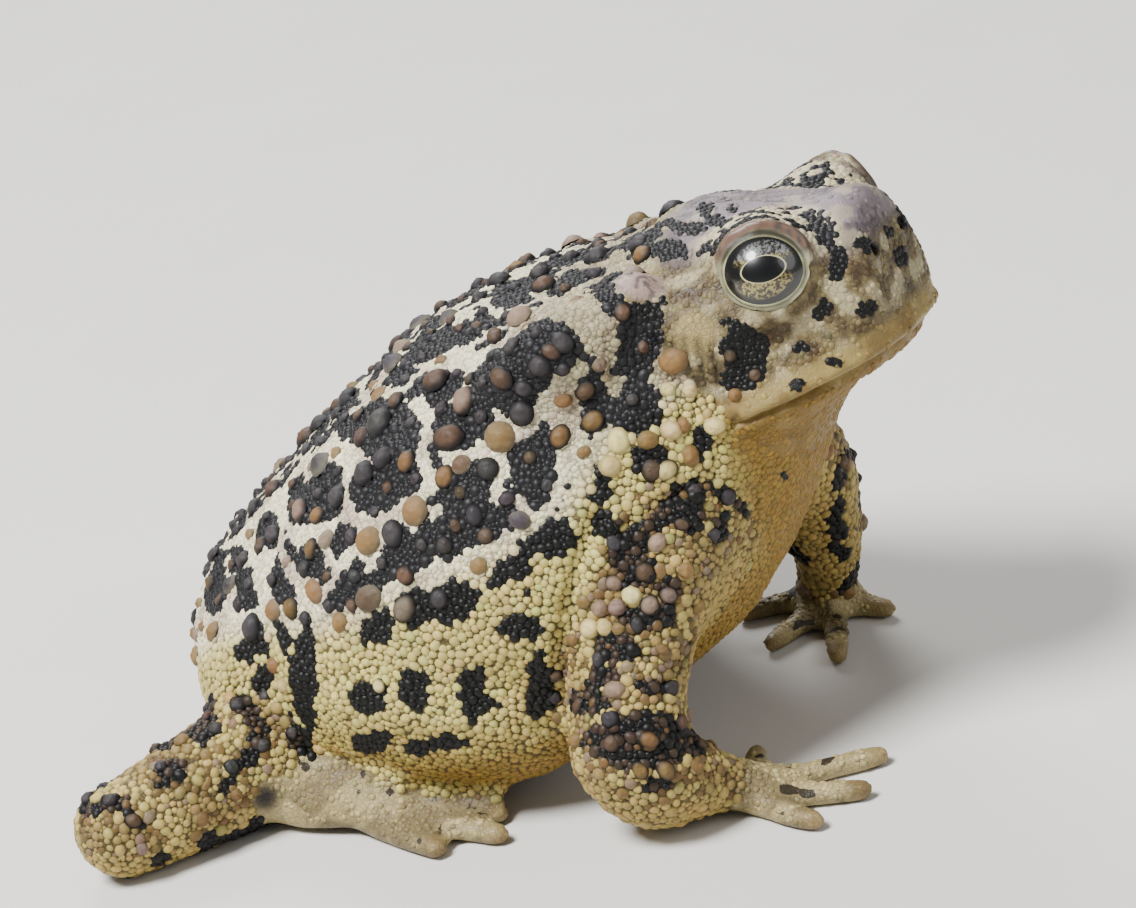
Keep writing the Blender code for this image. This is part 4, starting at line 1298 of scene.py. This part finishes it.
def makeCoat():
    spots, ways, owners = scatterCandidates(skinMesh, skinOwners)
    marks = markSkin(spots, ways, owners)
    print("candidates marked")
    crowd = Crowd(2.2, 0.93)
    large = plantWarts(crowd) + plantRandomWarts(crowd, spots, ways, owners, marks)
    spots, gap = swellUnderWarts(spots, large)
    swollen, _ = swellUnderWarts(pointsOf(skinMesh), large)
    swollen[:, 2] = np.maximum(swollen[:, 2], 0)  # the soles stay on the floor
    movePoints(skinMesh, swollen)
    kept, radii = plantGranules(spots, marks, gap)
    print(len(large), "warts and", len(kept), "granules")
    inDark = marks["field"][kept] < 0
    foot, top = granuleTones(marks, kept)
    height = radii[kept] * np.where(inDark, 0.66, 0.58)
    height *= np.where((marks["onHead"][kept] > 0.5) | (marks["throat"][kept] > 0.4), 0.7, 1.0)
    height *= np.where(marks["upper"][kept] > 0.5, 0.72, 1.0)
    roots = {
        "spot": spots[kept], "way": ways[kept], "radius": radii[kept] * granules["spread"], "height": height,
        "footTone": foot, "topTone": top, "owner": owners[kept],
    }
    pieces = []
    groups = {
        "rightBodyGranules": isNode(roots["owner"], "torso") & (roots["spot"][:, 1] < 0),
        "leftBodyGranules": isNode(roots["owner"], "torso") & (roots["spot"][:, 1] >= 0),
        "headGranules": isNode(roots["owner"], "head"),
        "armGranules": isNode(roots["owner"], "upper", "forearm", "hand"),
        "legGranules": isNode(roots["owner"], "thigh", "shank", "foot"),
    }
    for name, chosen in groups.items():
        part = {key: value[chosen] for key, value in roots.items()}
        halves = 1 + chosen.sum() // granules["perPiece"]
        for half in range(halves):
            some = {key: value[half::halves] for key, value in part.items()}
            pieces.append(joinDomes(f"{name}{half + 1}", some, *granuleForm))
            print(pieces[-1].name, len(pieces[-1].data.polygons), "triangles")
    pieces.append(joinWarts(large))
    return pieces


coat = makeCoat()
print("coat made")

# Materials

waves = {"frayed": 3.5, "cells": 2.6, "mottle": 0.9, "granule": 3.2, "lid": 1.8, "iris": 5.2}  # per mm


def skinMaterial():
    # living toad skin: dry and matt, with a mottled roughness
    made, tree, shader = startMaterial("dry granular toad skin")
    where = addNode(tree, "ShaderNodeTexCoord").outputs["Object"]
    pale, dark = (
        addNode(tree, "ShaderNodeAttribute", attribute_name=name).outputs["Color"]
        for name in ("paleTone", "darkTone")
    )
    edge, pearly, sleek, folded = (
        addNode(tree, "ShaderNodeAttribute", attribute_name=name).outputs["Fac"]
        for name in ("blotchEdge", "pearly", "smoothness", "folded")
    )
    frayed = addNode(tree, "ShaderNodeTexNoise", {
        "Vector": where, "Scale": waves["frayed"] / mm, "Detail": 3.0,
    })
    shifted = addNode(tree, "ShaderNodeMath", {
        0: frayed.outputs["Fac"], 1: 0.5, 2: edge,
    }, operation="MULTIPLY_ADD")
    inDark = addNode(tree, "ShaderNodeMapRange", {
        "Value": shifted.outputs[0], "From Min": 0.30, "From Max": 0.18,
    }, interpolation_type="SMOOTHSTEP")
    # creases between cells about 0.4 mm wide, darkened in the colour as painted shade and sunk by the bump
    cells = addNode(tree, "ShaderNodeTexVoronoi", {
        "Vector": where, "Scale": waves["cells"] / mm,
    }, feature="DISTANCE_TO_EDGE")
    crease = addNode(tree, "ShaderNodeMapRange", {
        "Value": cells.outputs["Distance"], "From Min": 0.0, "From Max": 0.16,
    }, interpolation_type="SMOOTHSTEP")
    mottle = addNode(tree, "ShaderNodeTexNoise", {
        "Vector": where, "Scale": waves["mottle"] / mm, "Detail": 4.0,
    })
    shade = addNode(tree, "ShaderNodeMapRange", {
        "Value": mottle.outputs["Fac"], "From Min": 0.3, "From Max": 0.7, "To Min": 0.82, "To Max": 1.14,
    })
    # painted shade: the gap tone darkens the skin between the pearly granules
    gapShadeTone = (*linear(tones["gap"]), 1)
    between = addNode(tree, "ShaderNodeMath", {0: pearly, 1: 0.8}, operation="MULTIPLY")
    ground = addNode(tree, "ShaderNodeMix", {0: between.outputs[0], 6: pale, 7: gapShadeTone}, data_type="RGBA")
    # painted shade: the fold tone darkens the skin along the creased folds
    foldShade = addNode(tree, "ShaderNodeMath", {0: folded, 1: 0.6}, operation="MULTIPLY")
    foldShadeTone = (*linear(tones["fold"]), 1)
    ground = addNode(tree, "ShaderNodeMix", {
        0: foldShade.outputs[0], 6: ground.outputs[2], 7: foldShadeTone,
    }, data_type="RGBA")
    marked = addNode(tree, "ShaderNodeMix", {
        0: inDark.outputs["Result"], 6: ground.outputs[2], 7: dark,
    }, data_type="RGBA")
    creaseShade = addNode(tree, "ShaderNodeMapRange", {
        "Value": crease.outputs["Result"], "To Min": 0.6, "To Max": 1.04,
    })
    creaseShadeEased = addNode(tree, "ShaderNodeMix", {
        0: sleek, 2: creaseShade.outputs["Result"], 3: 1.0,
    }, data_type="FLOAT")
    light = addNode(tree, "ShaderNodeMath", {
        0: creaseShadeEased.outputs[0], 1: shade.outputs["Result"],
    }, operation="MULTIPLY")
    final = addNode(tree, "ShaderNodeVectorMath", {
        0: marked.outputs[2], "Scale": light.outputs[0],
    }, operation="SCALE")
    tree.links.new(final.outputs[0], shader.inputs["Base Color"])
    rough = addNode(tree, "ShaderNodeMapRange", {
        "Value": mottle.outputs["Fac"], "From Min": 0.3, "From Max": 0.7, "To Min": 0.4, "To Max": 0.58,
    })
    tree.links.new(rough.outputs["Result"], shader.inputs["Roughness"])
    height = addNode(tree, "ShaderNodeMath", {
        0: crease.outputs["Result"], 1: 0.5, 2: frayed.outputs["Fac"],
    }, operation="MULTIPLY_ADD")
    strength = addNode(tree, "ShaderNodeMapRange", {"Value": sleek, "To Min": 0.7, "To Max": 0.25})
    shader.inputs["Specular IOR Level"].default_value = 0.32
    bump = addNode(tree, "ShaderNodeBump", {
        "Height": height.outputs[0], "Strength": strength.outputs["Result"], "Distance": 0.1 * mm,
    })
    tree.links.new(bump.outputs["Normal"], shader.inputs["Normal"])
    return made


def domeMaterial(name, roughness, paintedFootShade):
    # the same skin on a raised granule, with a painted highlight on its crown and painted shade at its foot
    made, tree, shader = startMaterial(name)
    where = addNode(tree, "ShaderNodeTexCoord").outputs["Object"]
    own = addNode(tree, "ShaderNodeAttribute", attribute_name="domeTone").outputs["Color"]
    cap = addNode(tree, "ShaderNodeAttribute", attribute_name="cap").outputs["Fac"]
    # painted shade and highlight: darker at the foot, lighter on the crown
    foot = addNode(tree, "ShaderNodeMapRange", {
        "Value": cap, "From Min": 0.05, "From Max": 0.8, "To Min": paintedFootShade, "To Max": 1.12,
    }, interpolation_type="SMOOTHSTEP")
    grain = addNode(tree, "ShaderNodeTexNoise", {
        "Vector": where, "Scale": waves["granule"] / mm, "Detail": 3.0,
    })
    shade = addNode(tree, "ShaderNodeMapRange", {
        "Value": grain.outputs["Fac"], "From Min": 0.3, "From Max": 0.7, "To Min": 0.84, "To Max": 1.12,
    })
    light = addNode(tree, "ShaderNodeMath", {
        0: foot.outputs["Result"], 1: shade.outputs["Result"],
    }, operation="MULTIPLY")
    final = addNode(tree, "ShaderNodeVectorMath", {0: own, "Scale": light.outputs[0]}, operation="SCALE")
    tree.links.new(final.outputs[0], shader.inputs["Base Color"])
    rough = addNode(tree, "ShaderNodeMapRange", {
        "Value": grain.outputs["Fac"], "From Min": 0.3, "From Max": 0.7,
        "To Min": roughness - 0.07, "To Max": roughness + 0.09,
    })
    tree.links.new(rough.outputs["Result"], shader.inputs["Roughness"])
    shader.inputs["Specular IOR Level"].default_value = 0.25
    bump = addNode(tree, "ShaderNodeBump", {
        "Height": grain.outputs["Fac"], "Strength": 0.5, "Distance": 0.04 * mm,
    })
    tree.links.new(bump.outputs["Normal"], shader.inputs["Normal"])
    return made


skinObject = newObject("skin", skinMesh)
skinMesh.materials.clear()
skinMesh.materials.append(skinMaterial())
granuleSkin = domeMaterial("toad granule", 0.5, 0.5)
wartSkin = domeMaterial("toad wart", 0.58, 0.9)
for piece in coat:
    piece.data.materials.append(wartSkin if piece.name == "warts" else granuleSkin)

# Eyes and lids

iris = {
    "pupil": (1.3, 0.78),  # half width and height in mm
    "pupilSpot": (0.06, 0.05),
    "tilt": -0.09,
    "darkSides": (-0.42, -0.4, 0.3),  # slope of their edges, and where the colour starts and is full
    "iris": (1.95, 1.74),
    "gold": "#b8b184",
    "sheenSilver": "#6e7070",
    "fleck": "#94854b",
    "deep": "#080706",
    "under": "#1c160c",
}
lids = {
    # degrees outside the opening, and distance from the eye's middle in mm
    "profile": ((-3, 2.7), (0, 2.94), (2.5, 3.0), (6, 3.04), (10, 3.07), (15, 3.02), (21, 2.8), (28, 2.4)),
    "ridge": 0.62,
    "steps": 96,
    "creases": 0.04,
    "ring": "#6f6d50",
    "rim": "#a3a27c",
    "lower": "#87856a",
    "ridgeTone": "#6a5042",
    "ridgeGrey": "#4a413b",
    "white": "#b9b495",
    "shadow": "#16100a",
}


def makeEye(side, name):
    middle, axis, upward, forward = eyeFrame(side)
    shape = bmesh.new()
    bmesh.ops.create_uvsphere(shape, u_segments=48, v_segments=40, radius=eyeDetail["radius"] * mm)
    for vert in shape.verts:
        lift = max(0.0, vert.co.z / (eyeDetail["radius"] * mm))
        vert.co *= 1 + 0.02 * lift**3  # the clear front bulges a little
    turn = Matrix((forward, upward, axis)).transposed()
    bmesh.ops.transform(shape, matrix=Matrix.Translation(middle) @ turn.to_4x4(), verts=shape.verts)
    bmesh.ops.recalc_face_normals(shape, faces=shape.faces)
    mesh = meshFrom(shape, name)
    away = (pointsOf(mesh) - np.array(middle)) / mm
    floatAttribute(mesh, "ahead", away @ np.array(forward))
    floatAttribute(mesh, "above", away @ np.array(upward))
    mesh.shade_smooth()
    return newObject(name, mesh)


def ellipseNode(tree, x, y, wide, high, power):
    # (x / wide) ^ power + (y / high) ^ 2, which is 1 on the edge
    terms = []
    for value, size, steep in ((x, wide, power), (y, high, 2.0)):
        for operation, other in (("DIVIDE", size), ("ABSOLUTE", 0.0), ("POWER", steep)):
            value = addNode(tree, "ShaderNodeMath", {0: value, 1: other}, operation=operation).outputs[0]
        terms.append(value)
    return addNode(tree, "ShaderNodeMath", {0: terms[0], 1: terms[1]}, operation="ADD").outputs[0]


def eyeMaterial():
    # a wet eye: a clear hard coat over a dark iris with gold flecks, and silver ones on its upper part as
    # painted sheen
    made, tree, shader = startMaterial("wet amphibian eye")
    x, y = (
        addNode(tree, "ShaderNodeAttribute", attribute_name=name).outputs["Fac"]
        for name in ("ahead", "above")
    )
    x = addNode(tree, "ShaderNodeMath", {0: x, 1: iris["pupilSpot"][0]}, operation="SUBTRACT").outputs[0]
    tilted = addNode(tree, "ShaderNodeMath", {0: x, 1: iris["tilt"], 2: y}, operation="MULTIPLY_ADD")
    y = addNode(tree, "ShaderNodeMath", {
        0: tilted.outputs[0], 1: iris["pupilSpot"][1],
    }, operation="SUBTRACT").outputs[0]
    where = addNode(tree, "ShaderNodeTexCoord").outputs["Object"]
    pupil = ellipseNode(tree, x, y, *iris["pupil"], 1.8)
    disc = ellipseNode(tree, x, y, *iris["iris"], 2.0)
    flecks = addNode(tree, "ShaderNodeTexNoise", {
        "Vector": where, "Scale": waves["iris"] / mm, "Detail": 4.0, "Roughness": 0.7,
    })
    gold = addNode(tree, "ShaderNodeMapRange", {
        "Value": flecks.outputs["Fac"], "From Min": 0.46, "From Max": 0.56,
    }, interpolation_type="SMOOTHSTEP")
    # the upper iris takes silver flecks in place of gold: painted sheen
    lower, upper = (addNode(tree, "ShaderNodeMix", {
        0: gold.outputs["Result"], 6: (*linear(iris["under"]), 1), 7: (*linear(iris[name]), 1),
    }, data_type="RGBA").outputs[2] for name in ("fleck", "sheenSilver"))
    slope, start, full = iris["darkSides"]
    across = addNode(tree, "ShaderNodeMath", {0: x}, operation="ABSOLUTE").outputs[0]
    upright = addNode(tree, "ShaderNodeMath", {0: y}, operation="ABSOLUTE").outputs[0]
    slant = addNode(tree, "ShaderNodeMath", {
        0: across, 1: slope, 2: upright,
    }, operation="MULTIPLY_ADD").outputs[0]
    deep = linear(iris["deep"])
    colour = lower
    # from the lower iris outward and inward: each mask, where it starts and is full, and what it lays on
    for value, first, last, over in (
        (y, 0.6, 0.95, upper), (slant, full, start, (*deep, 1)), (disc, 0.86, 1.1, (*deep, 1)),
        (pupil, 1.2, 1.1, (*linear(iris["gold"]), 1)), (pupil, 1.06, 0.98, (0.001, 0.001, 0.001, 1)),
    ):
        mask = addNode(tree, "ShaderNodeMapRange", {
            "Value": value, "From Min": first, "From Max": last,
        }, interpolation_type="SMOOTHSTEP")
        colour = addNode(tree, "ShaderNodeMix", {
            0: mask.outputs["Result"], 6: colour, 7: over,
        }, data_type="RGBA").outputs[2]
    tree.links.new(colour, shader.inputs["Base Color"])
    shader.inputs["Roughness"].default_value = 0.3
    shader.inputs["Coat Weight"].default_value = 1.0
    shader.inputs["Coat Roughness"].default_value = 0.02
    shader.inputs["Coat IOR"].default_value = 1.38  # wet cornea
    return made


def makeLids(side, name):
    middle, axis, upward, forward = eyeFrame(side)
    shape = bmesh.new()
    knots = []
    for tilt, reach in lids["profile"]:
        angle = math.radians(50 + tilt)
        knots.append(shape.verts.new((math.sin(angle) * reach * mm, 0, math.cos(angle) * reach * mm)))
    strip = [shape.edges.new(pair) for pair in zip(knots, knots[1:])]
    bmesh.ops.subdivide_edges(shape, edges=strip, cuts=2)
    bmesh.ops.spin(
        shape, geom=shape.verts[:] + shape.edges[:], cent=(0, 0, 0), axis=(0, 0, 1),
        angle=2 * math.pi, steps=lids["steps"], use_merge=True,
    )
    allAxes = {"use_axis_x": True, "use_axis_y": True, "use_axis_z": True}
    bmesh.ops.smooth_vert(shape, verts=shape.verts, factor=0.4, **allAxes)
    for vert in shape.verts:
        reach = vert.co.length / mm
        tilt = math.degrees(math.acos(max(-1, min(1, vert.co.z / vert.co.length)))) - 50
        bearing = math.degrees(math.atan2(vert.co.y, vert.co.x))
        opened = float(openingAngle(np.array(bearing)))
        turn = math.radians(bearing)
        above = max(0.0, math.sin(turn))
        below = max(0.0, -math.sin(turn))
        narrow = 1 - 0.25 * below
        lumps = 1 + 0.35 * noise.noise(Vector((turn * 2.2, 3.0, side)))
        reach += lids["ridge"] * lumps * above**0.6 * math.exp(-(((tilt - 12) / 6.5) ** 2))
        reach += 0.08 * below * math.exp(-(((tilt - 10) / 5) ** 2))
        faded = float(blendStep(2, 8, np.array(tilt)))
        reach -= lids["creases"] * (1 + math.cos(tilt * 1.1 + 0.6 * math.sin(turn * 3))) * faded * (1 - above)
        reach += 0.12 * noise.noise(Vector((turn * 3, tilt * 0.2, side))) * faded
        spread = 1 + 0.3 * above * abs(math.cos(turn)) * 2
        angle = math.radians(opened + tilt * narrow * spread)
        flat = math.sin(angle) * reach * mm
        vert.co = (math.cos(turn) * flat, math.sin(turn) * flat, math.cos(angle) * reach * mm)
    turn = Matrix((forward, upward, axis)).transposed()
    bmesh.ops.transform(shape, matrix=Matrix.Translation(middle) @ turn.to_4x4(), verts=shape.verts)
    bmesh.ops.recalc_face_normals(shape, faces=shape.faces)
    mesh = meshFrom(shape, name)
    colourAttribute(mesh, "lidTone", lidTones(mesh, side))
    mesh.shade_smooth()
    return newObject(name, mesh)


def lidTones(mesh, side):
    points = pointsOf(mesh)
    _, _, tilt, bearing = eyeAngles(points, side)
    past = tilt - openingAngle(bearing)
    above = np.sin(np.radians(bearing))
    ahead = np.cos(np.radians(bearing))
    streak = noiseAt(points, 1.6, 3.0)
    grain = noiseAt(points, 3.4, 8.0)
    owners = np.full(len(points), nodeNumber["head"])
    marks = markSkin(points, normalsOf(mesh), owners)
    colour = np.tile(linear(lids["ring"]), (len(past), 1))
    colour = mixTone(colour, linear(lids["lower"]), blendStep(4, 8, past))
    bright = blendStep(0.3, 0.9, ahead + 0.6 * streak) * blendStep(3, 7, past)
    colour = mixTone(colour, linear(lids["white"]), bright)
    crease = np.cos(np.radians(past * 63)) * blendStep(5, 9, past)
    colour = mixTone(colour, linear(lids["shadow"]), blendStep(0.5, 1.0, crease) * 0.3)
    edge = blendStep(2.6, 1.2, past) * blendStep(-0.35, 0.1, streak - 0.6 * above)
    colour = mixTone(colour, linear(lids["rim"]), edge)
    ridge = np.tile(linear(lids["ridgeTone"]), (len(past), 1))
    greyed = blendStep(-0.05, 0.3, streak + 0.4 * grain + 0.35 * ahead - 0.1)
    ridge = mixTone(ridge, linear(lids["ridgeGrey"]), greyed)
    upperLid = blendStep(0.15, 0.4, above)
    colour = mixTone(colour, ridge, upperLid * blendStep(5, 8, past))
    shaded = upperLid * blendStep(1.2, 2.5, past) * blendStep(7.5, 5, past) * 0.85
    colour = mixTone(colour, linear(lids["shadow"]), shaded)
    outside = mixTone(marks["pale"], marks["dark"][0], blendStep(0.05, -0.05, marks["field"]))
    colour = mixTone(colour, outside, blendStep(11, 16, past + 4 * streak) * (1 - upperLid))
    return mixTone(colour, outside, blendStep(14, 19, past + 4 * streak))


def lidMaterial():
    # thin moist lid skin with fine creases
    made, tree, shader = startMaterial("moist eyelid skin")
    where = addNode(tree, "ShaderNodeTexCoord").outputs["Object"]
    own = addNode(tree, "ShaderNodeAttribute", attribute_name="lidTone").outputs["Color"]
    grain = addNode(tree, "ShaderNodeTexNoise", {"Vector": where, "Scale": waves["lid"] / mm, "Detail": 4.0})
    shade = addNode(tree, "ShaderNodeMapRange", {
        "Value": grain.outputs["Fac"], "From Min": 0.3, "From Max": 0.7, "To Min": 0.78, "To Max": 1.15,
    })
    final = addNode(tree, "ShaderNodeVectorMath", {
        0: own, "Scale": shade.outputs["Result"],
    }, operation="SCALE")
    tree.links.new(final.outputs[0], shader.inputs["Base Color"])
    shader.inputs["Roughness"].default_value = 0.4
    bump = addNode(tree, "ShaderNodeBump", {
        "Height": grain.outputs["Fac"], "Strength": 0.5, "Distance": 0.06 * mm,
    })
    tree.links.new(bump.outputs["Normal"], shader.inputs["Normal"])
    return made


wetEye = eyeMaterial()
lidSkin = lidMaterial()
for side, word in ((-1, "right"), (1, "left")):
    eye = makeEye(side, f"{word}Eye")
    eye.data.materials.append(wetEye)
    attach(eye, "root")
    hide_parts(f"eye_{word}")
    lid = makeLids(side, f"{word}Lids")
    lid.data.materials.append(lidSkin)
    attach(lid, "root")
print("eyes and lids made")

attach(skinObject, "root")
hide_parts(*allFlesh)
for piece in coat:
    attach(piece, "root")

# Floor and light

studio = {
    "floor": "#d9d7d2",
    "world": "#e6ebf2",
    "worldStrength": 0.26,
    "key": (-0.16, -0.22, 0.46, 0.20, 6.4),  # place in metres, size and watts
    "back": (-0.20, 0.35, 0.35, 0.25, 2.0),
    "fill": (0.34, -0.05, 0.20, 0.30, 0.45),
}


def makeFloor():
    shape = bmesh.new()
    bmesh.ops.create_grid(shape, x_segments=8, y_segments=8, size=3.0)
    floor = newObject("floor", meshFrom(shape, "floor"))
    made, tree, shader = startMaterial("matt painted floor")
    where = addNode(tree, "ShaderNodeTexCoord").outputs["Object"]
    grain = addNode(tree, "ShaderNodeTexNoise", {"Vector": where, "Scale": 60.0, "Detail": 3.0})
    base = linear(studio["floor"])
    ramp = addNode(tree, "ShaderNodeMix", {
        0: grain.outputs["Fac"], 6: (*(base * 0.97), 1), 7: (*(base * 1.03), 1),
    }, data_type="RGBA")
    tree.links.new(ramp.outputs[2], shader.inputs["Base Color"])
    shader.inputs["Roughness"].default_value = 0.8
    floor.data.materials.append(made)


def makeLights():
    middle = place(0, 0, 15)
    for name in ("key", "back", "fill"):
        x, y, z, size, watts = studio[name]
        lamp = bpy.data.lights.new(name, "AREA")
        lamp.shape = "DISK"
        lamp.size = size
        lamp.energy = watts
        light = bpy.data.objects.new(name, lamp)
        light.location = (x, y, z)
        light.rotation_euler = (light.location - middle).to_track_quat("Z", "Y").to_euler()
        bpy.context.scene.collection.objects.link(light)
    world = bpy.data.worlds.new("studio")
    world.use_nodes = True
    sky = world.node_tree.nodes["Background"]
    sky.inputs["Color"].default_value = (*linear(studio["world"]), 1)
    sky.inputs["Strength"].default_value = studio["worldStrength"]
    bpy.context.scene.world = world


makeFloor()
makeLights()
print("stage set")
